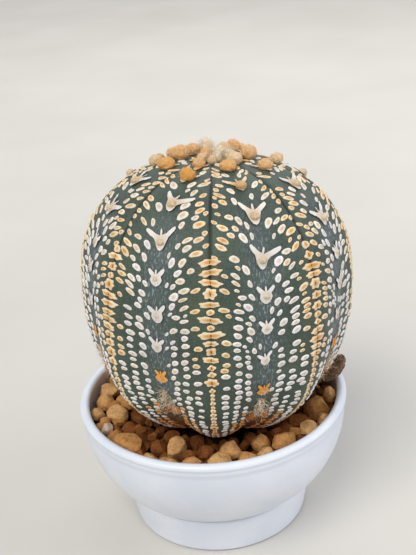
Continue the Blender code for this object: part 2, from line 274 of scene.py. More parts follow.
def skin(angle, along, height=0.0):
    """Points a height above the skin, from angles and lengths down from the crown."""
    angle = np.asarray(angle, float)
    along = np.asarray(along, float)
    step_angle = 0.012
    step_along = 0.45 * MM
    centre = upright(angle, along)
    across = upright(angle + step_angle, along) - upright(angle - step_angle, along)
    down = upright(angle, along + step_along) - upright(angle, np.maximum(along - step_along, 0.0))
    normal = np.cross(down, across)
    length = np.linalg.norm(normal, axis=-1, keepdims=True)
    normal = normal / np.maximum(length, 1e-12)
    flip = np.sign(np.sum(normal * (centre - np.array([0.0, 0.0, WAIST - 6.0 * MM])), -1, keepdims=True))
    lift = np.asarray(height, float)[..., None] if np.ndim(height) else height
    return leaned(centre + normal * flip * lift)


def radius_at(along):
    return np.interp(along, LENGTHS, LINE[:, 0])


def half_rib(along):
    """The way across the skin from a crease to the middle of a rib."""
    return math.pi / RIBS * float(radius_at(along))


def outward(angle, along):
    """The way straight out of the skin, about one unit long."""
    return (skin(angle, along, 1.0 * MM) - skin(angle, along)) / MM


def make_skin(mat):
    """The plant's body: a grid of angle and length, wrapped into the ribbed surface."""
    bm = bmesh.new()
    bmesh.ops.create_grid(bm, x_segments=SKIN_COLUMNS, y_segments=SKIN_ROWS, size=0.5)
    mesh = to_mesh("cactus_skin", bm)
    co = coords(mesh)
    turn = (co[:, 0] + 0.5) * RIBS
    rib = np.floor(turn)
    part = turn - rib
    angle = RIB_TURN + (rib + part - CREASE_CROWDING * np.sin(TAU * part) / TAU) * TAU / RIBS
    along = (co[:, 1] + 0.5) ** 1.08 * ROOT_END
    set_coords(mesh, skin(angle, along))
    r = radius_at(along)
    z = np.interp(along, LENGTHS, LINE[:, 1])
    gap = np.abs(crease_distance(angle)) * r
    areole_gap = (math.pi / RIBS - np.abs(crease_distance(angle))) * r
    bloom = np.exp(-(areole_gap / (4.4 * MM)) ** 2) * smoothstep(24.0 * MM, 46.0 * MM, along)
    bloom *= 1.0 - smoothstep(84.0 * MM, 94.0 * MM, along)
    # painted shade: a dark line down each crease, where the furrow lies in shade, fading out below the upper
    # body
    furrow = np.exp(-(gap / (0.42 * MM)) ** 2) * (1.0 - smoothstep(50.0 * MM, 80.0 * MM, along))
    rise = 3.5 * MM * np.exp(-(areole_gap / (5.5 * MM)) ** 2)
    cork = 1.0 - smoothstep(POT_HEIGHT - 2.0 * MM + rise, POT_HEIGHT + 5.0 * MM + 1.3 * rise, z)
    set_attribute(mesh, "bloom", bloom)
    set_attribute(mesh, "furrow", furrow)
    set_attribute(mesh, "cork", cork)
    uv = mesh.uv_layers.new(name="rib_map")
    index = np.empty(len(mesh.loops), np.int32)
    mesh.loops.foreach_get("vertex_index", index)
    flat = np.stack([angle * BODY_RADIUS, along], -1)[index]
    uv.data.foreach_set("uv", (flat * 10.0).astype(np.float32).ravel())
    bm = bmesh.new()
    bm.from_mesh(mesh)
    bmesh.ops.remove_doubles(bm, verts=bm.verts, dist=0.01 * MM)
    bmesh.ops.recalc_face_normals(bm, faces=bm.faces)
    bm.to_mesh(mesh)
    bm.free()
    mesh.shade_smooth()
    add_piece("cactus_skin", mesh, mat, replaced=["cactus_body"])


# ---- small shapes laid on the skin ---------------------------------------------

def pad_shape(name, outline, rings, centre_height, dome=0.0):
    """A low pad from an outline: rings of (share of the outline, height) up to its middle.

    The heights are shares of the pad's own thickness.
    """
    bm = bmesh.new()
    verts = [bm.verts.new((x, y, rings[0][1])) for x, y in outline]
    face = bm.faces.new(verts)
    share = rings[0][0]
    for next_share, height in rings[1:]:
        bmesh.ops.inset_individual(bm, faces=[face], thickness=0.0, use_even_offset=False)
        middle = face.calc_center_median()
        for vert in face.verts:
            vert.co = middle + (vert.co - middle) * (next_share / share)
            vert.co.z = height
        share = next_share
    poked = bmesh.ops.poke(bm, faces=[face])
    for vert in poked["verts"]:
        vert.co.z = centre_height
    bmesh.ops.recalc_face_normals(bm, faces=bm.faces)
    return to_mesh(name, bm)


def oval(sides, stretch, wobble, pinch=0.0, bend=0.0):
    """An uneven oval outline, one unit in radius before its stretch."""
    phase = [rng.uniform(0.0, TAU) for _ in range(3)]
    points = []
    for i in range(sides):
        t = TAU * i / sides
        r = 1.0 + wobble * (0.6 * math.cos(2 * t + phase[0]) + 0.7 * math.cos(3 * t + phase[1])
                            + 0.4 * math.cos(4 * t + phase[2]))
        x = r * math.cos(t) * stretch
        y = r * math.sin(t) * (1.0 - pinch * math.exp(-(x / 0.45) ** 2))
        points.append((x, y + bend * x * x))
    return points


class Scatter:
    """Many copies of small shapes, laid on the skin and joined into one mesh."""

    def __init__(self, name):
        self.name = name
        self.parts = []

    def lay(self, shape, angle, along, size, thickness, turn=0.0, tint=0.0, tone=0.5, sink=0.0):
        """Lay a shape at a place on the skin; size is its half width and half length."""
        co = coords(shape)
        x = co[:, 0] * size[0]
        y = co[:, 1] * size[1]
        c, s = math.cos(turn), math.sin(turn)
        across = x * c - y * s
        up = x * s + y * c
        radius = max(float(radius_at(along)), 2.0 * MM)
        self.parts.append((shape, angle + across / radius, along - up, co[:, 2] * thickness - sink,
                           np.hypot(co[:, 0] / max(1e-6, np.abs(co[:, 0]).max()),
                                    co[:, 1] / max(1e-6, np.abs(co[:, 1]).max())),
                           tint, tone))

    def build(self, mat):
        angle = np.concatenate([p[1] for p in self.parts])
        along = np.maximum(np.concatenate([p[2] for p in self.parts]), 0.05 * MM)
        height = np.concatenate([p[3] for p in self.parts])
        points = skin(angle, along, height)
        mesh = joined_mesh(self.name, [p[0] for p in self.parts], points)
        counts = [len(p[0].vertices) for p in self.parts]
        set_attribute(mesh, "edge", np.concatenate([p[4] for p in self.parts]))
        set_attribute(mesh, "tint", np.repeat([p[5] for p in self.parts], counts))
        set_attribute(mesh, "tone", np.repeat([p[6] for p in self.parts], counts))
        add_piece(self.name, mesh, mat)


FACES = {}


def face_table(shape):
    """A shape's polygons as (corner vertex numbers, corner counts)."""
    if shape.name not in FACES:
        corners = np.empty(len(shape.loops), np.int32)
        shape.loops.foreach_get("vertex_index", corners)
        counts = np.empty(len(shape.polygons), np.int32)
        shape.polygons.foreach_get("loop_total", counts)
        FACES[shape.name] = (corners, counts)
    return FACES[shape.name]


def joined_mesh(name, shapes, points):
    """One mesh from copies of shapes whose corners have all been placed."""
    corners, totals, start = [], [], 0
    for shape in shapes:
        loops, counts = face_table(shape)
        corners.append(loops + start)
        totals.append(counts)
        start += len(shape.vertices)
    corners = np.concatenate(corners)
    totals = np.concatenate(totals)
    mesh = bpy.data.meshes.new(name)
    mesh.vertices.add(len(points))
    mesh.loops.add(len(corners))
    mesh.polygons.add(len(totals))
    mesh.vertices.foreach_set("co", np.asarray(points, np.float32).ravel())
    mesh.loops.foreach_set("vertex_index", corners)
    starts = np.concatenate([[0], np.cumsum(totals)[:-1]]).astype(np.int32)
    mesh.polygons.foreach_set("loop_start", starts)
    mesh.update(calc_edges=True)
    mesh.validate()
    mesh.shade_smooth()
    return mesh


# ---- where the areoles and flecks grow --------------------------------------------

# Places of the areoles down each rib, from the growing point, in mm.  The ribs are
# counted from the one right of the front; the last three of each are worn by age.
AREOLE_ROWS = (
    (13.4, 22.4, 33.0, 44.4, 54.4, 64.2, 74.8, 86.4, 100.5),
    (10.4, 17.6, 27.2, 39.6, 50.6, 60.4, 70.8, 81.6, 95.0),
    (10.8, 20.4, 31.0, 42.0, 52.4, 62.6, 72.8, 84.4, 97.5),
    (3.4, 15.2, 25.6, 36.8, 47.6, 58.0, 68.6, 79.6, 94.0),
    (7.6, 13.8, 28.8, 40.2, 51.0, 61.6, 72.2, 83.6, 98.0),
    (10.4, 18.0, 30.4, 41.8, 52.2, 62.8, 73.0, 84.0, 97.0),
    (6.0, 15.4, 25.0, 35.8, 46.4, 54.4, 66.0, 77.0, 92.0),
    (11.8, 18.8, 29.0, 39.8, 49.4, 60.2, 70.2, 81.2, 96.0),
)


def areoles():
    """Each rib's areoles as (rib, number from the crown, angle, length down)."""
    found = []
    for rib, row in enumerate(AREOLE_ROWS):
        middle = RIB_TURN + (rib + 0.5) * TAU / RIBS
        for number, place in enumerate(row):
            along = place * MM
            found.append((rib, number, middle + rng.uniform(-0.5, 0.5) * MM / radius_at(along), along))
    return found


AREOLES = areoles()


class Room:
    """What already lies on the skin, so that nothing is laid over it."""

    def __init__(self):
        self.rows = []

    def take(self, angle, along, half_long, half_wide, turn):
        self.rows.append((angle % TAU, along, half_long, half_wide, turn))

    def free(self, angle, along, half_long, half_wide, turn, gap):
        if not self.rows:
            return True
        taken = np.array(self.rows)
        across = (angle - taken[:, 0] + math.pi) % TAU - math.pi
        across = across * float(radius_at(along))
        up = taken[:, 1] - along
        distance = np.hypot(across, up)
        way = np.arctan2(up, across)

        def reach(long, wide, lie):
            return long * wide / np.hypot(wide * np.cos(way - lie), long * np.sin(way - lie))

        needed = reach(taken[:, 2], taken[:, 3], taken[:, 4]) + reach(half_long, half_wide, turn) + gap
        return bool(np.all(distance > needed))


ROOM = Room()


FLECK_THICKNESS = 0.3 * MM
PLATE_THICKNESS = 0.36 * MM
COLUMN_SHARES = (0.24, 0.46, 0.68)    # where the columns stand, from crease (0) to areole (1)
STRAY_TRIES = 650
SLIT_HALF_WIDTH = 0.27 * MM
CHAIN_START = 0.315                   # where the fused plates begin, as a share of the way down
FLECKS = [pad_shape(f"fleck_shape_{i}", oval(10, 1.0, 0.09, *extra),
                    ((1.0, -0.35), (0.93, 0.75), (0.72, 1.0), (0.4, 0.86)), 0.78)
          for i, extra in enumerate(((0.0, 0.0), (0.0, 0.0), (0.22, 0.0), (0.0, 0.14), (0.12, -0.1),
                                     (0.3, 0.06), (0.0, 0.0)))]


def fleck_tilt(share, down):
    """How far a fleck's crease end is raised: flat at the crease, upright at the areoles."""
    upper = np.interp(share, (0.0, 0.25, 0.5, 0.72, 0.92), (12.0, 24.0, 36.0, 52.0, 84.0))
    lower = np.interp(share, (0.0, 0.25, 0.5, 0.72, 0.92), (4.0, 8.0, 18.0, 36.0, 70.0))
    return math.radians(float(np.interp(down, (0.35, 0.62), (upper, lower))))


def fleck_size(down):
    """Half length and half width of a fleck, in mm, from the crown (0) to the base (1)."""
    half_long = float(np.interp(down, (0.0, 0.12, 0.32, 0.5, 0.66, 0.82),
                                (1.3, 1.75, 1.75, 1.42, 1.12, 0.86)))
    ratio = float(np.interp(down, (0.0, 0.4, 0.6, 0.8), (0.56, 0.6, 0.68, 0.84)))
    half_long *= rng.uniform(0.84, 1.14)
    return half_long, half_long * ratio * rng.uniform(0.88, 1.12)


def lay_fleck(groups, crease, side, share, along, gap=0.34, size=None, tilt=None):
    """Lay one fleck if there is room for it; side is where the crease is not."""
    down = along / BODY_END
    radius = float(radius_at(along))
    width = half_rib(along)
    half_long, half_wide = size or fleck_size(down)
    rise = fleck_tilt(share, down) if tilt is None else tilt
    turn = -side * rise + rng.uniform(-0.16, 0.16)
    angle = crease + side * share * width / radius
    if not ROOM.free(angle, along, half_long * MM, half_wide * MM, turn, gap * MM):
        return False
    ROOM.take(angle, along, half_long * MM, half_wide * MM, turn)
    z = float(np.interp(along, LENGTHS, LINE[:, 1]))
    ageing = 1.0 - (z - POT_HEIGHT + 1.5 * MM) / (16.0 * MM)
    worn = share > 0.3 and rng.random() < 1.9 * ageing * min(1.0, share)
    if worn:
        group, tint = "amber", rng.uniform(0.84, 1.0)
    elif share < 0.34 and down < 0.56:
        group, tint = "yellow", rng.uniform(0.42, 0.6)
    elif down < 0.3:
        group, tint = "yellow", rng.uniform(0.2, 0.46) * (1.0 if share < 0.6 else 0.6)
    elif down < 0.42 and share < 0.55:
        group, tint = "yellow", rng.uniform(0.14, 0.34)
    else:
        group, tint = "white", rng.uniform(0.0, 0.14)
    groups[group].lay(rng.choice(FLECKS), angle, along, (half_long * MM, half_wide * MM),
                      FLECK_THICKNESS, turn, tint, rng.random())
    return True


def each_half_rib():
    for rib in range(RIBS):
        for side in (-1, 1):
            yield rib, side, RIB_TURN + (rib + (0 if side > 0 else 1)) * TAU / RIBS


def lay_arches(groups):
    """Arches of flecks over each areole, pointing away from it like rays."""
    for rib, number, angle, along in AREOLES:
        if number > 6:
            continue
        half = half_rib(along)
        high = float(np.interp(number, (0, 1, 2, 3, 4, 6), (4.0, 4.6, 5.0, 4.8, 4.5, 3.9))) * MM
        wide = float(np.interp(number, (0, 1, 2, 3, 4, 6), (5.0, 6.4, 7.6, 7.6, 7.2, 5.6))) * MM
        wide = min(wide, 0.74 * half)
        for turn in (-12, 12, -37, 37, -64, 64, -92, 92):
            if rng.random() < (0.1 if number < 4 else 0.25):
                continue
            t = math.radians(turn + rng.uniform(-7, 7))
            place = along - high * math.cos(t) * rng.uniform(0.92, 1.1) - 0.4 * MM
            across = wide * math.sin(t) * rng.uniform(0.94, 1.06)
            if place < 9.0 * MM:
                continue
            side = 1 if across < 0 else -1
            crease = angle - side * math.pi / RIBS
            share = 1.0 - abs(across) / half_rib(place)
            half_long, half_wide = fleck_size(place / BODY_END)
            size = (0.86 * half_long, 0.84 * half_wide)
            tilt = math.radians(max(12.0, 90.0 - 0.86 * abs(math.degrees(t))))
            lay_fleck(groups, crease, side, share, place, 0.26, size, tilt)


def lay_flecks(groups):
    """Columns of flecks between each crease and its areoles, then strays in the gaps."""
    for rib, side, crease in each_half_rib():
        for column, share in enumerate(COLUMN_SHARES):
            along = (8.0 + 3.0 * column + rng.uniform(0.0, 2.0)) * MM
            while along < FLECKS_END:
                down = along / BODY_END
                pitch = np.interp(down, (0.0, 0.3, 0.6, 1.0), (2.5, 2.4, 2.4, 2.0))
                pitch = pitch * (0.8, 1.0, 1.04)[column]
                along += pitch * rng.uniform(0.8, 1.25) * MM
                place = share + rng.uniform(-0.03, 0.03)
                size = None
                if column == 0:
                    beside = float(np.interp(down, (0.16, 0.26, 0.4), (2.5, 4.0, 4.3))) * MM
                    place = max(0.12, min(place, beside / half_rib(along)))
                elif down < 0.36:
                    place -= 0.02
                if column < 2 and down < 0.44:
                    half_long, half_wide = fleck_size(down)
                    size = (1.06 * half_long, 0.76 * half_wide)
                lay_fleck(groups, crease, side, place, along, (0.12, 0.2, 0.24)[column], size)
    for rib, side, crease in each_half_rib():
        for _ in range(STRAY_TRIES):
            along = rng.uniform(5.0 * MM, FLECKS_END)
            down = along / BODY_END
            share = rng.uniform(0.16, 0.95 if down < 0.3 else 0.82)
            half_long, half_wide = fleck_size(down)
            shrink = rng.uniform(0.55, 0.95)
            roomy = 0.3 if down < 0.45 else 0.45
            lay_fleck(groups, crease, side, share, along, roomy, (half_long * shrink, half_wide * shrink))


# Kinds of plate down the chain, from the top: how far each band reaches, and its
# (kind, half width and half length in mm, chance up to here) rows.
CHAIN_BANDS = (
    (0.47, (("bow", 4.0, 1.35, 0.42), ("diamond", 2.2, 1.5, 0.64), ("rosette", 2.3, 1.7, 0.78),
            ("bead", 1.2, 1.0, 1.0))),
    (0.58, (("bow", 3.0, 1.4, 0.3), ("rosette", 2.6, 1.9, 0.7), ("diamond", 1.8, 1.4, 0.85),
            ("bead", 1.0, 0.9, 1.0))),
    (9.0, (("rosette", 1.4, 1.2, 0.4), ("diamond", 1.1, 1.1, 0.7), ("bead", 0.75, 0.8, 1.0))),
)


def lay_crease(plates_group, slits, slit_shape, plates):
    """Fused yellow plates down each crease, with a dark slit of painted shade in the wide ones."""
    for rib in range(RIBS):
        crease = RIB_TURN + rib * TAU / RIBS
        start = CHAIN_START * BODY_END + rng.uniform(-2.0, 2.0) * MM
        along = start
        while along < FLECKS_END:
            down = along / BODY_END
            draw = rng.random()
            band = next(kinds for reach, kinds in CHAIN_BANDS if down < reach)
            kind, width, length, _ = next(row for row in band if draw < row[3])
            scale = rng.uniform(0.86, 1.14)
            tint = rng.uniform(0.5, 0.64) if down < 0.72 else rng.uniform(0.62, 0.86)
            along += 0.9 * length * scale * MM
            slant = rng.uniform(-0.16, 0.16)
            size = (width * scale * MM, length * scale * MM)
            plates_group.lay(rng.choice(plates[kind]), crease, along, size, PLATE_THICKNESS,
                             slant, tint, rng.random(), sink=-0.1 * MM)
            ROOM.take(crease, along, *size, slant)
            # a dark sheet laid over the middle of the wide plates, as painted shade in the slit
            if kind in ("bow", "rosette") or (kind == "diamond" and down < 0.55):
                slits.lay(slit_shape, crease, along, (SLIT_HALF_WIDTH, 0.5 * length * scale * MM),
                          0.05 * MM, rng.uniform(-0.3, 0.3), sink=-0.42 * MM)
            along += 0.9 * length * scale * MM + rng.uniform(0.0, 0.35) * MM
        # above the chain, only loose beads beside the crease
        along = 16.0 * MM
        while along < start - 2.0 * MM:
            down = along / BODY_END
            along += rng.uniform(1.6, 3.4 if down > 0.18 else 5.0) * MM
            side = rng.choice((-1, 1))
            aside = rng.uniform(0.9, 1.7) * MM
            size = (rng.uniform(0.6, 1.0) * MM, rng.uniform(0.5, 0.85) * MM)
            angle = crease + side * aside / float(radius_at(along))
            plates_group.lay(plates["bead"][0], angle, along, size, 0.26 * MM, side * -0.3, 0.5,
                             rng.random(), sink=-0.05 * MM)
            ROOM.take(angle, along, *size, 0.0)


def plate_outline(petals, depth, waist):
    """Petals fused round a middle, each of its own length; a waist draws in the sides."""
    reach = [rng.uniform(0.72, 1.0) for _ in range(petals)]
    shift = rng.uniform(0.0, TAU)
    points = []
    for i in range(30):
        t = TAU * i / 30
        turned = (t + shift) / TAU * petals
        first = int(turned) % petals
        part = turned - int(turned)
        length = reach[first] * (1.0 - part) + reach[(first + 1) % petals] * part
        r = length * (1.0 - depth * math.sin(math.pi * part) ** 2)
        x = r * math.cos(t)
        points.append((x, r * math.sin(t) * (1.0 - waist * math.exp(-(x / 0.3) ** 2))))
    return points


def plate_shapes():
    """Variants of each kind of plate: wide bows, diamonds, rosettes and small beads."""
    rings = ((1.0, -0.35), (0.95, 0.7), (0.84, 1.0), (0.5, 0.96))
    kinds = (("bow", 6, 0.2, 0.3), ("diamond", 4, 0.3, 0.0), ("rosette", 6, 0.26, 0.05))
    made = {kind: [pad_shape(f"plate_{kind}_{i}", plate_outline(petals, depth, waist), rings, 0.9)
                   for i in range(4)] for kind, petals, depth, waist in kinds}
    made["bead"] = [pad_shape("plate_bead", oval(10, 1.0, 0.1), rings, 0.9)]
    return made


# ---- areoles ------------------------------------------------------------------------

def areole_outline(broad, body, prongs):
    """A teardrop that points down, with prongs given by their tips, right to left, in mm."""
    flank = [(0.62, -2.6), (1.15, -1.8), (1.5, -0.8)]
    points = [(0.0, -2.9), *[(body * x, y) for x, y in flank]]
    for i, tip in enumerate(prongs):
        way = Vector(tip).normalized()
        side = Vector((way.y, -way.x))
        first, last = ((broad, 0.5), (0.34, 0.34), (0.5, broad))[i]
        points += [tuple(Vector(tip) * share + side * fat)
                   for share, fat in ((0.4, first), (0.66, 0.97 * first), (0.87, 0.8 * first),
                                      (0.97, 0.45 * first), (1.0, -0.1 * last), (0.94, -0.6 * last),
                                      (0.66, -0.97 * last), (0.4, -last))]
    points += [(-body * x, y) for x, y in reversed(flank)]
    return [tuple(p) for p in points]


def areole_shape(name, form):
    """The areole's pad: prongs low and narrow, its heart thick."""
    bm = bmesh.new()
    verts = [bm.verts.new((x, y, -0.25)) for x, y in areole_outline(*form)]
    face = bm.faces.new(verts)
    for inset, height in ((0.1, 0.42), (0.12, 0.62)):
        bmesh.ops.inset_region(bm, faces=[face], thickness=inset, depth=0.0, use_even_offset=True)
        for vert in face.verts:
            vert.co.z = height
    bmesh.ops.triangulate(bm, faces=[face])
    bmesh.ops.subdivide_edges(bm, edges=bm.edges[:], cuts=1, use_grid_fill=True)
    for vert in bm.verts:
        if vert.co.z > 0.3:
            heart = math.exp(-((vert.co.x / 1.4) ** 2 + ((vert.co.y + 0.6) / 1.5) ** 2))
            vert.co.z += 0.8 * heart
            vert.co.z += 0.22 * noise.noise(Vector((vert.co.x * 1.6, vert.co.y * 1.6, 3.1)))
    bmesh.ops.recalc_face_normals(bm, faces=bm.faces)
    return to_mesh(name, bm)


# How broad the prongs and the body are, and the prongs' tips: three wide-winged forms
# of the young areoles, three shields of the older ones, and the tulip of the worn ones.
AREOLE_FORMS = (
    (0.86, 1.1, ((6.4, 2.4), (1.1, 2.6), (-3.2, 3.5))),
    (0.86, 1.1, ((4.2, 4.0), (-0.7, 3.1), (-5.9, 2.8))),
    (0.82, 1.1, ((4.8, 2.9), (0.6, 3.0), (-3.6, 4.0))),
    (0.92, 1.45, ((3.0, 3.3), (0.0, 2.7), (-3.2, 2.8))),
    (0.94, 1.45, ((3.2, 2.5), (0.3, 2.8), (-2.7, 3.2))),
    (0.92, 1.5, ((2.8, 2.8), (-0.2, 2.5), (-2.9, 2.6))),
    (0.85, 1.9, ((2.2, 2.9), (0.0, 2.5), (-2.3, 2.7))),
)


def lay_areoles(cream, amber, shapes):
    for rib, number, angle, along in AREOLES:
        if number > 7:
            continue
        if along > 20.0 * MM:
            number = max(number, 1)
        size = np.interp(number, (0, 1, 2, 3, 4, 5, 6, 7), (0.66, 0.86, 1.0, 0.96, 0.86, 0.88, 0.78, 0.8))
        size *= rng.uniform(0.93, 1.07) * MM
        group = amber if number == 7 else cream
        tint = float(np.interp(number, (0, 1, 2, 3, 4, 6, 7), (0.62, 0.46, 0.2, 0.1, 0.04, 0.0, 0.95)))
        shape = shapes[(rib + number) % 3 + (3 if number > 3 else 0)] if number < 7 else shapes[6]
        turn = rng.uniform(-0.1, 0.1)
        group.lay(shape, angle, along, (size, size), 0.75 * size, turn, tint, rng.random(), sink=-0.04 * MM)
        ROOM.take(angle, along + 0.9 * size, 1.9 * size, 2.2 * size, turn)
        ROOM.take(angle, along - 2.4 * size, (6.3 if number < 4 else 3.8) * size, 1.8 * size, turn)


def make_hearts(mat):
    """A tan ball of felt at the heart of each areole, large near the crown."""
    hearts = WoolBalls()
    for rib, number, angle, along in AREOLES:
        under_tuft = any(abs(down * MM - along) < 3.0 * MM
                         and abs(math.remainder(math.radians(turn) - angle, TAU)) * along < 3.0 * MM
                         for turn, down, *_ in CROWN_TUFTS)
        if number > 6 or along < 17.0 * MM or under_tuft:
            continue
        size = float(np.interp(number, (1, 2, 3, 4, 6), (1.65, 1.5, 1.25, 0.85, 0.6))) * MM
        place = along + 0.5 * size
        centre = skin(angle, place, 0.55 * size)
        tone = float(np.interp(number, (1, 2, 3, 4, 6), (0.3, 0.62, 0.8, 0.95, 1.0)))
        hearts.add(centre, (size, size, 0.78 * size), 90 + 8 * rib + number, tone, 3)
    hearts.build("areole_hearts", mat)


# ---- wool -----------------------------------------------------------------------------

# How thick the hairs are drawn: their real width is a tenth of it, too fine to show.
CROWN_HAIR = 0.045 * MM
FELT_HAIR = 0.05 * MM
BASE_FIBRE = 0.085 * MM
# how many there are on each tuft, areole and foot of an areole row
PALE_TUFT_HAIRS, GOLD_TUFT_HAIRS, FELT_HAIRS = 240, 190, 46
BASE_FIBRES, BASE_CLUMPS = 210, 5


def fibre_shape():
    """A thin tapering fibre, one unit long, with a slight bow."""
    bm = bmesh.new()
    bmesh.ops.create_cone(bm, cap_ends=True, segments=3, radius1=1.0, radius2=0.25, depth=1.0)
    bmesh.ops.translate(bm, vec=(0.0, 0.0, 0.5), verts=bm.verts)
    long_edges = [e for e in bm.edges if abs(e.verts[0].co.z - e.verts[1].co.z) > 0.5]
    bmesh.ops.subdivide_edges(bm, edges=long_edges, cuts=2)
    return to_mesh("fibre_shape", bm)


def fibres(name, roots, mat, thickness):
    """Fibres from (root, direction, length, bow) rows, joined into one mesh."""
    shape = fibre_shape()
    co = coords(shape)
    placed = []
    for root, way, length, bow in roots:
        way = np.asarray(way, float)
        way /= np.linalg.norm(way)
        side = np.cross(way, (0.3, 0.2, 0.9))
        side /= max(np.linalg.norm(side), 1e-9)
        other = np.cross(way, side)
        z = co[:, 2:3]
        placed.append(np.asarray(root) + way * z * length
                      + side * (co[:, 0:1] * thickness + bow * length * z * z)
                      + other * co[:, 1:2] * thickness)
    mesh = joined_mesh(name, [shape] * len(placed), np.concatenate(placed))
    add_piece(name, mesh, mat)


class WoolBalls:
    """Balls of wool, spheres with soft lumps, joined into one mesh."""

    def __init__(self):
        self.bm = bmesh.new()
        self.tones = []

    def add(self, centre, size, seed, tone, fineness):
        """Add a ball and give back its points."""
        ball = bmesh.new()
        bmesh.ops.create_icosphere(ball, subdivisions=fineness, radius=1.0)
        shift = Vector((seed * 7.31, seed * 3.7, seed * 1.9))
        for vert in ball.verts:
            way = vert.co.normalized()
            lump = 0.16 * noise.noise(way * 1.7 + shift) + 0.10 * noise.noise(way * 4.2 + shift)
            lump += 0.05 * noise.noise(way * 9.0 + shift)
            vert.co = Vector(centre) + Vector(a * b for a, b in zip(way * (1.0 + lump), size))
        scratch = to_mesh("wool_ball", ball)
        self.bm.from_mesh(scratch)
        points = coords(scratch)
        bpy.data.meshes.remove(scratch)
        self.tones += [tone] * len(points)
        return points

    def build(self, name, mat):
        mesh = to_mesh(name, self.bm)
        set_attribute(mesh, "tone", self.tones)
        add_piece(name, mesh, mat)


def unit_noise():
    return np.array([rng.gauss(0, 1), rng.gauss(0, 1), rng.gauss(0, 1)])


# The crown's tufts: angle (degrees, right of the front positive), length down from the
# growing point, width and height in mm, and how pale and hairy each one is.
CROWN_TUFTS = (
    (-100, 10.4, 5.2, 5.0, 0.25), (-68, 15.6, 5.2, 3.8, 0.1), (-97, 18.2, 4.0, 3.6, 0.5),
    (-142, 9.2, 3.4, 3.8, 0.35), (-172, 12.6, 4.4, 4.2, 0.85), (-101, 2.6, 3.6, 4.6, 0.3),
    (129, 3.0, 4.4, 5.2, 1.0), (151, 14.0, 4.0, 4.4, 0.25), (92, 11.0, 5.0, 4.6, 0.3),
    (-26, 10.6, 3.6, 3.4, 0.3), (-8, 7.4, 2.6, 2.8, 0.55), (18, 13.0, 5.0, 3.6, 0.15),
    (46, 9.8, 4.4, 4.2, 0.6), (62, 17.4, 4.6, 3.4, 0.3), (98, 20.2, 3.8, 3.4, 0.5),
    (-26, 18.6, 4.4, 4.0, 0.0), (-162, 6.2, 3.4, 4.4, 0.7),
    (-48, 7.0, 3.2, 3.6, 0.45), (20, 3.6, 3.2, 4.2, 0.9), (76, 5.4, 3.4, 4.2, 0.8),
    (153, 8.6, 3.8, 3.8, 0.4), (-120, 14.6, 3.6, 3.4, 0.3), (-160, 19.0, 4.2, 3.6, 0.3),
    (152, 20.0, 4.0, 3.6, 0.3),
)


def make_crown(mats):
    """Round woolly tufts over the growing point, with loose hairs on the pale ones."""
    tufts = WoolBalls()
    pale_hairs, gold_hairs = [], []
    for i, (turn, down, size, tall, pale) in enumerate(CROWN_TUFTS):
        angle = math.radians(turn)
        up = outward(angle, down * MM)
        centre = skin(angle, down * MM) + up * 0.36 * tall * MM
        half = 0.5 * size * MM
        co = tufts.add(centre, (half, half, 0.5 * tall * MM), i + 1, pale, 4)
        hairs = pale_hairs if pale > 0.4 else gold_hairs
        for _ in range(PALE_TUFT_HAIRS if pale > 0.6 else GOLD_TUFT_HAIRS):
            root = co[rng.randrange(len(co))]
            way = (root - centre) / np.linalg.norm(root - centre) + 0.35 * unit_noise() + 0.35 * up
            length = rng.uniform(0.9, 2.2) * MM if pale > 0.6 else rng.uniform(0.3, 0.9) * MM
            hairs.append((root - 0.1 * MM * way, way, length, rng.uniform(-0.3, 0.3)))
    tufts.build("crown_wool", mats["wool"])
    fibres("crown_hairs", pale_hairs, mats["fibre"], CROWN_HAIR)
    fibres("golden_crown_hairs", gold_hairs, mats["gold_fibre"], CROWN_HAIR)


def make_base_wool(mats):
    """Old brown wool at the foot of each areole row, with loose fibres."""
    clumps = WoolBalls()
    hairs = []
    for rib, number, angle, along in AREOLES:
        if number < 8:
            continue
        for k in range(BASE_CLUMPS):
            spot = along + rng.uniform(-0.6, 2.6) * MM
            turn = angle + rng.uniform(-3.2, 3.2) * MM / float(radius_at(spot))
            centre = skin(turn, spot, 0.1 * MM)
            size = rng.uniform(0.9, 1.7) * MM
            clumps.add(centre, (size, size, 0.7 * size), 40 + 9 * rib + number + k,
                       rng.uniform(0.0, 0.6), 3)
        for _ in range(BASE_FIBRES):
            above = rng.random()
            spot = along + (2.0 - 11.5 * above) * MM
            turn = angle + rng.gauss(0.0, 0.5 + 2.2 * (1.0 - above)) * MM / float(radius_at(spot))
            way = outward(turn, spot) * 0.55 + 0.8 * unit_noise()
            hairs.append((skin(turn, spot), way, rng.uniform(1.0, 3.2) * MM, rng.uniform(-0.6, 0.6)))
    clumps.build("base_wool", mats["old_wool"])
    fibres("base_fibres", hairs, mats["old_fibre"], BASE_FIBRE)


def make_felt(mats):
    """Short felt on the hearts of the areoles."""
    hairs = []
    for rib, number, angle, along in AREOLES:
        if not 1 <= number <= 7:
            continue
        for _ in range(FELT_HAIRS):
            x = rng.gauss(0.0, 0.55)
            y = rng.gauss(-0.8, 0.75)
            root = skin(angle + x * MM / float(radius_at(along)), along - y * MM, 0.75 * MM)
            hairs.append((root, outward(angle, along) + 0.6 * unit_noise(),
                          rng.uniform(0.3, 0.7) * MM, rng.uniform(-0.4, 0.4)))
    fibres("areole_felt", hairs, mats["fibre"], FELT_HAIR)


# ---- stones -----------------------------------------------------------------------------

def merged_copy(name):
    """A CAD node's mesh as a copy with its corners joined."""
    bm = bmesh.new()
    bm.from_mesh(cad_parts[name].data)
    bmesh.ops.remove_doubles(bm, verts=bm.verts, dist=0.001 * MM)
    return bm


def middle_of(bm):
    return sum((vert.co for vert in bm.verts), Vector()) / len(bm.verts)


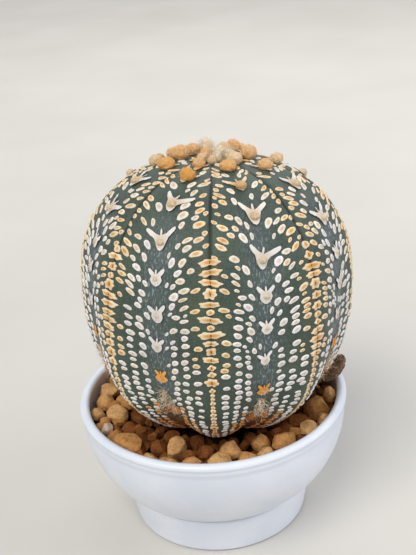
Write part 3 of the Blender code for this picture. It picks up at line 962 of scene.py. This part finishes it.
def roughen(bm, seed):
    """Break a grain's edges a little and give its flats soft lumps and small pits."""
    middle = middle_of(bm)
    size = max((v.co - middle).length for v in bm.verts)
    bmesh.ops.dissolve_limit(bm, angle_limit=math.radians(27.0), verts=bm.verts, edges=bm.edges)
    bmesh.ops.triangulate(bm, faces=bm.faces)
    bmesh.ops.dissolve_limit(bm, angle_limit=math.radians(9.0), verts=bm.verts, edges=bm.edges)
    bmesh.ops.bevel(bm, geom=bm.edges[:], offset=0.04 * size, affect="EDGES", segments=1, profile=0.5,
                    material=-1, clamp_overlap=True)
    bmesh.ops.triangulate(bm, faces=bm.faces)
    for _ in range(3):
        long_edges = [e for e in bm.edges if e.calc_length() > 0.14 * size]
        bmesh.ops.subdivide_edges(bm, edges=long_edges, cuts=1, use_grid_fill=True)
        bmesh.ops.triangulate(bm, faces=bm.faces)
    shift = Vector((seed * 13.7, seed * 5.1, seed * 2.3))
    bm.normal_update()
    for vert in bm.verts:
        out = vert.co - middle
        rough = noise.fractal(vert.co * 330.0 + shift, 0.8, 2.1, 4)
        hole = max(0.0, noise.noise(vert.co * 1000.0 + shift) - 0.2)
        vert.co = middle + out * 1.1 + vert.normal * (0.12 * MM * rough - 0.2 * MM * hole)
    bmesh.ops.recalc_face_normals(bm, faces=bm.faces)


def make_stones(mat):
    """The named stones of the top dressing, each from its own solid."""
    odd_ones = {"stone_05": 0.12, "stone_07": 0.12, "stone_12": 0.12, "stone_20": 0.12,
                "stone_02": 0.62, "stone_04": 0.86}
    for name in sorted(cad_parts):
        if not name.startswith("stone_"):
            continue
        bm = merged_copy(name)
        seed = int(name.split("_")[1])
        roughen(bm, seed)
        mesh = to_mesh(name + "_grain", bm)
        mesh.set_sharp_from_angle(angle=math.radians(17.0))
        tone = odd_ones.get(name, rng.uniform(0.35, 0.68))
        set_attribute(mesh, "tone", [tone] * len(mesh.vertices))
        add_piece(name + "_grain", mesh, mat, [name])


GRAIN_TRIES = 5200


def make_fill(mat):
    """Small grains that fill the gaps between the named stones, darker deep in the bed and under the plant as
    painted shade.
    """
    shapes = []
    for i in range(8):
        bm = bmesh.new()
        bmesh.ops.create_icosphere(bm, subdivisions=2, radius=1.0)
        for _ in range(12):
            way = Vector((rng.gauss(0, 1), rng.gauss(0, 1), rng.gauss(0, 1))).normalized()
            bmesh.ops.bisect_plane(bm, geom=[*bm.verts, *bm.edges, *bm.faces], dist=1e-5,
                                   plane_co=way * rng.uniform(0.54, 0.8), plane_no=way,
                                   clear_outer=True)
            bmesh.ops.holes_fill(bm, edges=[e for e in bm.edges if e.is_boundary])
        bmesh.ops.dissolve_limit(bm, angle_limit=math.radians(20.0), verts=bm.verts, edges=bm.edges)
        bmesh.ops.triangulate(bm, faces=bm.faces)
        shift = Vector((i * 3.3, i * 1.7, 0.4))
        for vert in bm.verts:
            vert.co *= 1.2 + 0.06 * noise.noise(vert.co * 2.2 + shift)
        bmesh.ops.recalc_face_normals(bm, faces=bm.faces)
        shapes.append(to_mesh(f"grain_shape_{i}", bm))
    boxes = [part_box(name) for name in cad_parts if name.startswith("stone_") or name == "big_rock"]
    centres = np.array([(low + high) / 2 for low, high in boxes])
    sizes = np.array([0.5 * (high - low).length / math.sqrt(3.0) for low, high in boxes])
    placed, tones, used = [], [], []
    for _ in range(GRAIN_TRIES):
        turn = rng.uniform(0.0, TAU)
        radius = math.sqrt(rng.uniform((14.0 * MM) ** 2, (40.6 * MM) ** 2))
        size = rng.uniform(1.5, 3.1) * MM
        z = SOIL_TOP + rng.uniform(0.6, 4.4) * MM
        spot = np.array([radius * math.sin(turn), -radius * math.cos(turn), z])
        if radius + size > 41.4 * MM:
            continue
        gaps = np.linalg.norm(centres - spot, axis=1) - sizes - size
        if gaps.min() < -0.35 * size:
            continue
        depth = WAIST - z - size
        line_r = float(np.interp(-(z + 0.5 * size), -LINE[60:, 1], LINE[60:, 0]))
        if math.hypot(spot[0] - BODY_OFFSET, spot[1]) < line_r * 0.97 + size * 0.5 and depth > 0:
            continue
        centres = np.vstack([centres, spot])
        sizes = np.append(sizes, size)
        shape = rng.choice(shapes)
        spin = (Matrix.Rotation(rng.uniform(0, TAU), 3, "Z")
                @ Matrix.Rotation(rng.uniform(0, TAU), 3, "X"))
        co = (coords(shape) * size * np.array([1.15, 1.0, 0.9])) @ np.array(spin).T + spot
        placed.append(co)
        used.append(shape)
        # painted shade: grains lower in the bed, and grains nearer the axis under the plant's overhang, get a
        # darker tone; the rest of the tone differs at random
        high = (z - SOIL_TOP) / (4.4 * MM)
        tone = rng.uniform(0.0, 0.2) + 0.36 * high * rng.uniform(0.5, 1.0)
        if radius < 33.0 * MM:
            tone *= 0.4
        draw = rng.random()
        if high > 0.5 and draw < 0.08 and spot[0] < -26.0 * MM:
            tone = 0.86
        elif draw > 0.94:
            tone = 0.07
        tones += [tone] * len(co)
    mesh = joined_mesh("small_grains", used, np.concatenate(placed))
    mesh.set_sharp_from_angle(angle=math.radians(22.0))
    set_attribute(mesh, "tone", tones)
    add_piece("small_grains", mesh, mat)


def make_rock(mat):
    """The porous grey-brown rock wedged at the rim."""
    bm = merged_copy("big_rock")
    middle = middle_of(bm)
    for _ in range(3):
        bmesh.ops.subdivide_edges(bm, edges=bm.edges[:], cuts=1, use_grid_fill=True, smooth=0.3)
    bmesh.ops.smooth_vert(bm, verts=bm.verts, factor=0.4, use_axis_x=True, use_axis_y=True,
                          use_axis_z=True)
    bm.normal_update()
    for vert in bm.verts:
        out = vert.co - middle
        rough = noise.fractal(vert.co * 300.0, 0.8, 2.2, 5)
        hole = max(0.0, noise.noise(vert.co * 1100.0) - 0.1)
        vert.co = middle + out * 1.12 + vert.normal * (0.55 * MM * rough - 0.6 * MM * hole)
    add_piece("mossy_rock", to_mesh("mossy_rock", bm), mat, ["big_rock"])


# ---- pot ------------------------------------------------------------------------------------

def ring_arc(cx, cz, rx, rz, start, end, count):
    steps = (math.radians(start + (end - start) * i / count) for i in range(count + 1))
    return [(cx + rx * math.cos(t), cz + rz * math.sin(t)) for t in steps]


def make_pot(mat):
    """The bowl: its outline turned round the axis, with the drain holes cut through."""
    wall_radius = POT_RADIUS - RIM_OVERHANG
    rim_bottom = POT_HEIGHT - RIM_HEIGHT
    ledge_radius = FOOT_RADIUS + FOOT_DRAFT
    sweep = 52.0    # degrees of the wall's arc, from the rim down to the foot
    semi_width = (wall_radius - ledge_radius + FOOT_STEP) / (1.0 - math.cos(math.radians(sweep)))
    semi_depth = (rim_bottom - FOOT_HEIGHT) / math.sin(math.radians(sweep))

    def side(inset, count):
        return ring_arc(wall_radius - semi_width, rim_bottom, semi_width - inset,
                        semi_depth - inset, 0.0, -sweep, count)

    half = 0.5 * RIM_WIDTH
    foot_inner = FOOT_RADIUS - POT_WALL
    inner = [(0.0, BASE_THICKNESS), (foot_inner - POT_WALL, BASE_THICKNESS),
             (foot_inner, BASE_THICKNESS + POT_WALL),
             (foot_inner + 0.4 * FOOT_DRAFT, FOOT_HEIGHT - 2.0 * POT_WALL),
             *reversed(side(POT_WALL, 24)), (POT_RADIUS - RIM_WIDTH, POT_HEIGHT - 0.45 * RIM_WIDTH)]
    lip = ring_arc(POT_RADIUS - half, POT_HEIGHT - 0.9 * half, half, 0.9 * half, 175.0, -35.0, 20)
    edge = 1.0 * MM
    outer = [(POT_RADIUS - 0.12 * MM, POT_HEIGHT - 0.62 * RIM_HEIGHT),
             (POT_RADIUS - 0.35 * MM, POT_HEIGHT - 0.86 * RIM_HEIGHT),
             *side(0.0, 32),
             (ledge_radius - 0.25 * MM, FOOT_HEIGHT - 0.15 * MM), (ledge_radius, FOOT_HEIGHT - 0.5 * MM),
             (ledge_radius - 0.04 * MM, FOOT_HEIGHT - 1.4 * MM),
             *[(FOOT_RADIUS + FOOT_DRAFT * s, edge + (FOOT_HEIGHT - 2.0 * MM - edge) * s)
               for s in (0.9, 0.7, 0.5, 0.3, 0.1)],
             *ring_arc(FOOT_RADIUS - edge, edge, edge, edge, 0.0, -90.0, 6), (0.0, 0.0)]
    bm = bmesh.new()
    verts = [bm.verts.new((r, 0.0, z)) for r, z in [*inner, *lip, *outer]]
    edges = [bm.edges.new(pair) for pair in zip(verts, verts[1:])]
    bmesh.ops.spin(bm, geom=verts + edges, cent=(0, 0, 0), axis=(0, 0, 1), angle=TAU, steps=160,
                   use_merge=True)
    bmesh.ops.remove_doubles(bm, verts=bm.verts, dist=1e-7)
    bmesh.ops.recalc_face_normals(bm, faces=bm.faces)
    mesh = to_mesh("bowl_blank", bm)
    blank = bpy.data.objects.new("bowl_blank", mesh)
    bpy.context.scene.collection.objects.link(blank)
    cutters = []
    for i in range(DRAIN_HOLES):
        turn = TAU * i / DRAIN_HOLES + DRAIN_TURN
        bm = bmesh.new()
        spot = Matrix.Translation((DRAIN_CIRCLE * math.sin(turn), -DRAIN_CIRCLE * math.cos(turn),
                                   0.5 * BASE_THICKNESS))
        bmesh.ops.create_cone(bm, cap_ends=True, segments=40, radius1=DRAIN_RADIUS, radius2=DRAIN_RADIUS,
                              depth=3.0 * BASE_THICKNESS, matrix=spot)
        cutter = bpy.data.objects.new(f"drain_cutter_{i}", to_mesh("drain_cutter", bm, False))
        bpy.context.scene.collection.objects.link(cutter)
        boolean = blank.modifiers.new(cutter.name, "BOOLEAN")
        boolean.operation = "DIFFERENCE"
        boolean.object = cutter
        cutters.append(cutter)
    bpy.context.view_layer.update()
    depsgraph = bpy.context.evaluated_depsgraph_get()
    mesh = bpy.data.meshes.new_from_object(blank.evaluated_get(depsgraph))
    mesh.name = "white_bowl"
    for obj in [blank, *cutters]:
        bpy.data.objects.remove(obj, do_unlink=True)
    mesh.shade_smooth()
    mesh.set_sharp_from_angle(angle=math.radians(50.0))
    add_piece("white_bowl", mesh, mat, ["pot"])


# ---- materials -----------------------------------------------------------------------------

MULTIPLY = {"operation": "MULTIPLY"}
CLAMPED_MULTIPLY = {"operation": "MULTIPLY", "use_clamp": True}
SHADED = {"blend_type": "MULTIPLY"}
BLACK, WHITE = "#000000", "#FFFFFF"
# values that the pieces carry on their points
BLOOM, FURROW_SHADE, CORK, EDGE, TINT, TONE = ({"attribute_name": name} for name in (
    "bloom", "furrow", "cork", "edge", "tint", "tone"))


def cactus_skin_material():
    """Living cactus epidermis: matte waxy dark green, finely granular, with a grey bloom."""
    mat, place = new_material("waxy_cactus_epidermis")
    patches = node(mat, "TexNoise", Vector=place, Scale=90.0, Detail=3.0, Roughness=0.6)
    green = node(mat, "ValToRGB", ramp=((0.3, "#2F3B32"), (0.5, "#3A473C"), (0.72, "#475241")), Fac=patches)
    grain = node(mat, "TexNoise", Vector=place, Scale=2300.0, Detail=2.0, Roughness=0.7)
    speck = node(mat, "ValToRGB", ramp=((0.36, BLACK), (0.7, WHITE)), Fac=grain)
    speck = node(mat, "Math", MULTIPLY, i0=speck, i1=0.42)
    colour = node(mat, "MixRGB", Fac=speck, Color1=green, Color2=paint("#6E7C70"))
    # white streaks of bloom, stretched down the ribs
    down_rib = node(mat, "Mapping", Vector=node(mat, "UVMap", {"uv_map": "rib_map"}),
                    Scale=(1.0, 0.32, 1.0))
    streaks = node(mat, "TexNoise", Vector=down_rib, Scale=190.0, Detail=2.0, Roughness=0.55)
    streaks = node(mat, "ValToRGB", ramp=((0.54, BLACK), (0.66, WHITE)), Fac=streaks)
    patchy = node(mat, "TexNoise", Vector=place, Scale=140.0, Detail=2.0)
    bloom = node(mat, "Math", CLAMPED_MULTIPLY, i0=node(mat, "Attribute", BLOOM).outputs["Fac"], i1=patchy)
    streaks = node(mat, "Math", MULTIPLY, i0=streaks, i1=bloom)
    colour = node(mat, "MixRGB", Fac=bloom, Color1=colour, Color2=paint("#5C676C"))
    colour = node(mat, "MixRGB", Fac=streaks, Color1=colour, Color2=paint("#B9BFC4"))
    # painted shade down the crease furrows, darkened to near black
    furrow = node(mat, "Attribute", FURROW_SHADE).outputs["Fac"]
    colour = node(mat, "MixRGB", Fac=furrow, Color1=colour, Color2=paint("#1E241E"))
    # old brown cork at the base, with a ragged upper edge
    cork = node(mat, "Attribute", CORK).outputs["Fac"]
    crumbs = node(mat, "TexNoise", Vector=place, Scale=520.0, Detail=3.0)
    brown = node(mat, "ValToRGB", ramp=((0.35, "#5B3B26"), (0.55, "#8A5E3A"), (0.7, "#A87C50")), Fac=crumbs)
    ragged = node(mat, "Math", {"operation": "MULTIPLY_ADD", "use_clamp": True}, i0=crumbs, i1=0.9, i2=-0.45)
    ragged = node(mat, "Math", {"operation": "ADD", "use_clamp": True}, i0=cork, i1=ragged)
    ragged = node(mat, "Math", CLAMPED_MULTIPLY, i0=ragged, i1=cork)
    colour = node(mat, "MixRGB", Fac=ragged, Color1=colour, Color2=brown)
    bump = node(mat, "Bump", Height=grain, Strength=0.35, Distance=0.00025)
    bump = node(mat, "Bump", Height=patchy, Strength=0.25, Distance=0.001, Normal=bump)
    return finish_material(mat, Base_Color=colour, Roughness=0.52, IOR=1.42,
                           Specular_IOR_Level=0.4, Normal=bump)


def fleck_material(name, rim, heart):
    """Felted hair scales: matte and fibrous, paler at the rim than in the middle."""
    mat, place = new_material(name)
    tint = node(mat, "Attribute", TINT).outputs["Fac"]
    grain = node(mat, "TexNoise", Vector=place, Scale=2600.0, Detail=3.0, Roughness=0.7)
    ragged = node(mat, "Math", {"operation": "MULTIPLY_ADD"}, i0=grain, i1=0.7, i2=-0.35)
    reach = node(mat, "Math", {"operation": "ADD"}, i0=node(mat, "Attribute", EDGE).outputs["Fac"], i1=ragged)
    colour = node(mat, "MixRGB", Fac=node(mat, "ValToRGB", ramp=((0.28, BLACK), (0.72, WHITE)), Fac=reach),
                  Color1=node(mat, "ValToRGB", ramp=heart, Fac=tint),
                  Color2=node(mat, "ValToRGB", ramp=rim, Fac=tint))
    tone = node(mat, "Attribute", TONE).outputs["Fac"]
    shade = node(mat, "Math", {"operation": "MULTIPLY_ADD"}, i0=tone, i1=0.14, i2=0.86)
    colour = node(mat, "MixRGB", SHADED, Fac=1.0, Color1=colour, Color2=shade)
    bump = node(mat, "Bump", Height=grain, Strength=0.5, Distance=0.0003)
    return finish_material(mat, Base_Color=colour, Roughness=0.9, IOR=1.45,
                           Specular_IOR_Level=0.15, Normal=bump)


def wool_material(name, dark, light):
    """Plant wool: soft tangled hairs, very matte with a slight sheen."""
    mat, place = new_material(name)
    tangle = node(mat, "TexNoise", Vector=place, Scale=1700.0, Detail=4.0, Roughness=0.75, Distortion=1.2)
    tone = node(mat, "Attribute", TONE).outputs["Fac"]
    base = node(mat, "ValToRGB", ramp=((0.0, dark), (1.0, light)), Fac=tone)
    shade = node(mat, "ValToRGB", ramp=((0.3, "#DAB787"), (0.56, WHITE)), Fac=tangle)
    colour = node(mat, "MixRGB", SHADED, Fac=0.8, Color1=base, Color2=shade)
    bump = node(mat, "Bump", Height=tangle, Strength=0.9, Distance=0.0006)
    return finish_material(mat, Base_Color=colour, Roughness=0.95, Specular_IOR_Level=0.1,
                           Sheen_Weight=0.3, Sheen_Roughness=0.5, Sheen_Tint=paint("#F6DCAE"),
                           Normal=bump)


def fibre_material(name, dark, light):
    """Single plant hairs, thin and pale."""
    mat, place = new_material(name)
    vary = node(mat, "TexNoise", Vector=place, Scale=700.0, Detail=1.0)
    return finish_material(mat, Base_Color=node(mat, "ValToRGB", ramp=((0.3, dark), (0.7, light)), Fac=vary),
                           Roughness=0.7, Specular_IOR_Level=0.3)


def clay_material():
    """Fired clay granules: dusty, porous and matte, tan to red-brown, a few of pale pumice."""
    mat, place = new_material("fired_clay_granule")
    cloud = node(mat, "TexNoise", Vector=place, Scale=330.0, Detail=4.0, Roughness=0.65)
    grit = node(mat, "TexNoise", Vector=place, Scale=2100.0, Detail=3.0, Roughness=0.75)
    # tone: each grain's own colour, and on the small grains also painted shade deep in the bed and under the
    # plant
    tone = node(mat, "Attribute", TONE).outputs["Fac"]
    base = node(mat, "ValToRGB", ramp=((0.0, "#5E2F16"), (0.2, "#A56A34"), (0.45, "#DFA766"),
                                       (0.7, "#EEC389"), (0.9, "#ECD8CA")), Fac=tone)
    shade = node(mat, "ValToRGB", ramp=((0.28, "#9C8C7C"), (0.5, "#F0EAE4"), (0.72, WHITE)), Fac=cloud)
    colour = node(mat, "MixRGB", SHADED, Fac=0.85, Color1=base, Color2=shade)
    dust = node(mat, "ValToRGB", ramp=((0.4, "#7A6A5A"), (0.62, WHITE)), Fac=grit)
    colour = node(mat, "MixRGB", SHADED, Fac=0.35, Color1=colour, Color2=dust)
    bump = node(mat, "Bump", Height=grit, Strength=0.7, Distance=0.0004)
    bump = node(mat, "Bump", Height=cloud, Strength=0.4, Distance=0.001, Normal=bump)
    return finish_material(mat, Base_Color=colour, Roughness=0.92, Specular_IOR_Level=0.2, Normal=bump)


def rock_material():
    """Porous volcanic rock, grey-brown, with pale lichen dust in its hollows."""
    mat, place = new_material("porous_volcanic_rock")
    cloud = node(mat, "TexNoise", Vector=place, Scale=420.0, Detail=5.0, Roughness=0.7)
    grit = node(mat, "TexNoise", Vector=place, Scale=1900.0, Detail=3.0, Roughness=0.75)
    base = node(mat, "ValToRGB", ramp=((0.32, "#54402F"), (0.46, "#8A6B50"), (0.58, "#A88A70"),
                                       (0.7, "#DCCBBE")), Fac=cloud)
    dust = node(mat, "ValToRGB", ramp=((0.38, "#5A4A40"), (0.62, WHITE)), Fac=grit)
    colour = node(mat, "MixRGB", SHADED, Fac=0.5, Color1=base, Color2=dust)
    bump = node(mat, "Bump", Height=grit, Strength=0.9, Distance=0.0008)
    return finish_material(mat, Base_Color=colour, Roughness=0.95, Specular_IOR_Level=0.2, Normal=bump)


def plastic_material():
    """Injection-moulded polypropylene: bluish white, satin gloss, faint handling marks."""
    mat, place = new_material("white_polypropylene")
    haze = node(mat, "TexNoise", Vector=place, Scale=60.0, Detail=3.0)
    marks = node(mat, "TexNoise", Vector=place, Scale=420.0, Detail=4.0, Roughness=0.7)
    gloss = node(mat, "MapRange", Value=marks, To_Min=0.24, To_Max=0.42)
    bump = node(mat, "Bump", Height=marks, Strength=0.05, Distance=0.0004)
    colour = node(mat, "ValToRGB", ramp=((0.35, "#DCE2EC"), (0.65, "#E6EAF2")), Fac=haze)
    return finish_material(mat, Base_Color=colour, Roughness=gloss, IOR=1.49,
                           Subsurface_Weight=0.08, Subsurface_Scale=0.002, Normal=bump)


def soil_material():
    """Dark loose potting soil, coarse and matte."""
    mat, place = new_material("loose_potting_soil")
    crumbs = node(mat, "TexVoronoi", Vector=place, Scale=700.0)
    fine = node(mat, "TexNoise", Vector=place, Scale=1300.0, Detail=3.0)
    colour = node(mat, "ValToRGB", ramp=((0.35, "#140B07"), (0.55, "#2E1C12"), (0.75, "#4E3220")), Fac=fine)
    bump = node(mat, "Bump", Height=crumbs, Strength=1.0, Distance=0.001)
    return finish_material(mat, Base_Color=colour, Roughness=0.95, Specular_IOR_Level=0.15, Normal=bump)


def slit_shade_material():
    """Painted shade: a dark brown sheet in the slit in the middle of the fused plates."""
    mat, place = new_material("painted_slit_shade")
    fine = node(mat, "TexNoise", Vector=place, Scale=1500.0, Detail=2.0)
    colour = node(mat, "ValToRGB", ramp=((0.35, "#33220F"), (0.65, "#5E3F1C")), Fac=fine)
    return finish_material(mat, Base_Color=colour, Roughness=0.9)


def floor_material():
    """Plain pale matte board under the pot."""
    mat, place = new_material("pale_matte_board")
    cloud = node(mat, "TexNoise", Vector=place, Scale=9.0, Detail=2.0)
    colour = node(mat, "ValToRGB", ramp=((0.3, "#C9C5BD"), (0.7, "#CFCBC4")), Fac=cloud)
    return finish_material(mat, Base_Color=colour, Roughness=0.8)


# ---- stage ---------------------------------------------------------------------------------

FLOOR_REACH = 6.0
LIGHTS_AIM = Vector((0.0, 0.0, 0.07))


def make_stage():
    """The floor, the surroundings and the lights."""
    bm = bmesh.new()
    bmesh.ops.create_grid(bm, x_segments=1, y_segments=1, size=FLOOR_REACH)
    floor = bpy.data.objects.new("floor", to_mesh("floor", bm, False))
    floor.data.materials.append(floor_material())
    floor.location = (0.0, 0.0, -0.0002)
    bpy.context.scene.collection.objects.link(floor)
    bpy.context.scene.view_settings.view_transform = "Standard"

    world = bpy.data.worlds.new("studio")
    world.use_nodes = True
    world.node_tree.nodes["Background"].inputs["Color"].default_value = paint("#E9EDF4")
    world.node_tree.nodes["Background"].inputs["Strength"].default_value = 0.62
    bpy.context.scene.world = world

    def softbox(name, spot, size, power, colour):
        light = bpy.data.lights.new(name, "AREA")
        light.shape = "RECTANGLE"
        light.size = size[0]
        light.size_y = size[1]
        light.energy = power
        light.color = paint(colour)[:3]
        lamp = bpy.data.objects.new(name, light)
        lamp.location = spot
        lamp.rotation_euler = (LIGHTS_AIM - Vector(spot)).to_track_quat("-Z", "Y").to_euler()
        bpy.context.scene.collection.objects.link(lamp)

    softbox("side", (0.75, -0.15, 0.45), (0.5, 0.6), 2.4, "#F2F6FF")
    softbox("back", (0.15, 0.7, 0.6), (0.8, 0.4), 2.0, "#FFFFFF")
    # a broad sun, so that the floor is as bright far off as it is by the pot
    sky = bpy.data.lights.new("key", "SUN")
    sky.energy = 1.85
    sky.angle = math.radians(34.0)
    sky.color = paint("#FFFDF8")[:3]
    key = bpy.data.objects.new("key", sky)
    key.rotation_euler = Vector((0.35, 0.55, -0.85)).to_track_quat("-Z", "Y").to_euler()
    bpy.context.scene.collection.objects.link(key)


CAMERA_DISTANCE = 0.310
CAMERA_ELEVATION = math.radians(25.34)
CAMERA_TARGET = Vector((1.4 * MM, 0.0, 86.2 * MM))
CAMERA_ROLL = math.radians(-4.42)
CAMERA_LENS = 62.6


def make_camera():
    data = bpy.data.cameras.new("camera")
    data.sensor_width = 36.0
    data.lens = CAMERA_LENS
    data.clip_start = 0.01
    camera = bpy.data.objects.new("camera", data)
    back = Vector((0.0, -math.cos(CAMERA_ELEVATION), math.sin(CAMERA_ELEVATION)))
    look = (-back).to_track_quat("-Z", "Y").to_matrix().to_4x4()
    place = Matrix.Translation(CAMERA_TARGET + back * CAMERA_DISTANCE)
    camera.matrix_world = place @ look @ Matrix.Rotation(CAMERA_ROLL, 4, "Z")
    bpy.context.scene.collection.objects.link(camera)
    bpy.context.scene.camera = camera


# ---- build ------------------------------------------------------------------------------------

# Colours of the flecks and areoles, from fresh white through yellow to worn amber.
PALE = [(0.0, "#F8F4F2"), (0.2, "#F7EFE4"), (0.55, "#F8E3BE"), (1.0, "#E39A4E")]
HEARTS = [(0.0, "#D9CFCC"), (0.2, "#DDC49C"), (0.55, "#DDA356"), (1.0, "#B8641F")]
FELT_RIM = [(0.0, "#F2EEEA"), (0.3, "#EFE4D6"), (0.6, "#E9C690"), (1.0, "#F0A851")]
FELT_HEART = [(0.0, "#E8DED6"), (0.3, "#D2B793"), (0.6, "#D59C52"), (1.0, "#E29338")]


def main():
    mats = {
        "fleck": fleck_material("felted_scale", PALE, HEARTS),
        "areole": fleck_material("areole_felt_pad", FELT_RIM, FELT_HEART),
        "wool": wool_material("crown_wool", "#F0B260", "#FFF6DC"),
        "heart": wool_material("areole_heart_felt", "#DCAA62", "#F0E4CE"),
        "old_wool": wool_material("weathered_wool", "#B05F28", "#D2A87C"),
        "fibre": fibre_material("pale_hair", "#E6D4B4", "#F6EEDF"),
        "gold_fibre": fibre_material("golden_hair", "#E8A548", "#FAD494"),
        "old_fibre": fibre_material("weathered_hair", "#E6CBA6", "#FFF0DA"),
        "clay": clay_material(),
    }
    make_pot(plastic_material())
    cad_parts["potting_soil"].data.materials.clear()
    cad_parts["potting_soil"].data.materials.append(soil_material())
    make_skin(cactus_skin_material())

    groups = {name: Scatter(name + "_flecks") for name in ("white", "yellow", "amber")}
    plates = Scatter("crease_plates")
    slits = Scatter("plate_slits")
    cream = Scatter("cream_areoles")
    burnt = Scatter("amber_areoles")
    slit_shape = pad_shape("slit_shape", oval(8, 1.0, 0.15), ((1.0, 0.0), (0.7, 1.0)), 1.0)
    lay_areoles(cream, burnt, [areole_shape(f"areole_shape_{i}", form)
                               for i, form in enumerate(AREOLE_FORMS)])
    for turn, down, size, _, _ in CROWN_TUFTS:
        ROOM.take(math.radians(turn), down * MM, 0.5 * size * MM, 0.5 * size * MM, 0.0)
    lay_crease(plates, slits, slit_shape, plate_shapes())
    lay_arches(groups)
    lay_flecks(groups)
    for group in (*groups.values(), plates):
        group.build(mats["fleck"])
    slits.build(slit_shade_material())
    cream.build(mats["areole"])
    burnt.build(mats["areole"])
    make_hearts(mats["heart"])
    make_felt(mats)
    make_crown(mats)
    make_base_wool(mats)

    make_stones(mats["clay"])
    make_fill(mats["clay"])
    make_rock(rock_material())
    make_stage()
    make_camera()


main()
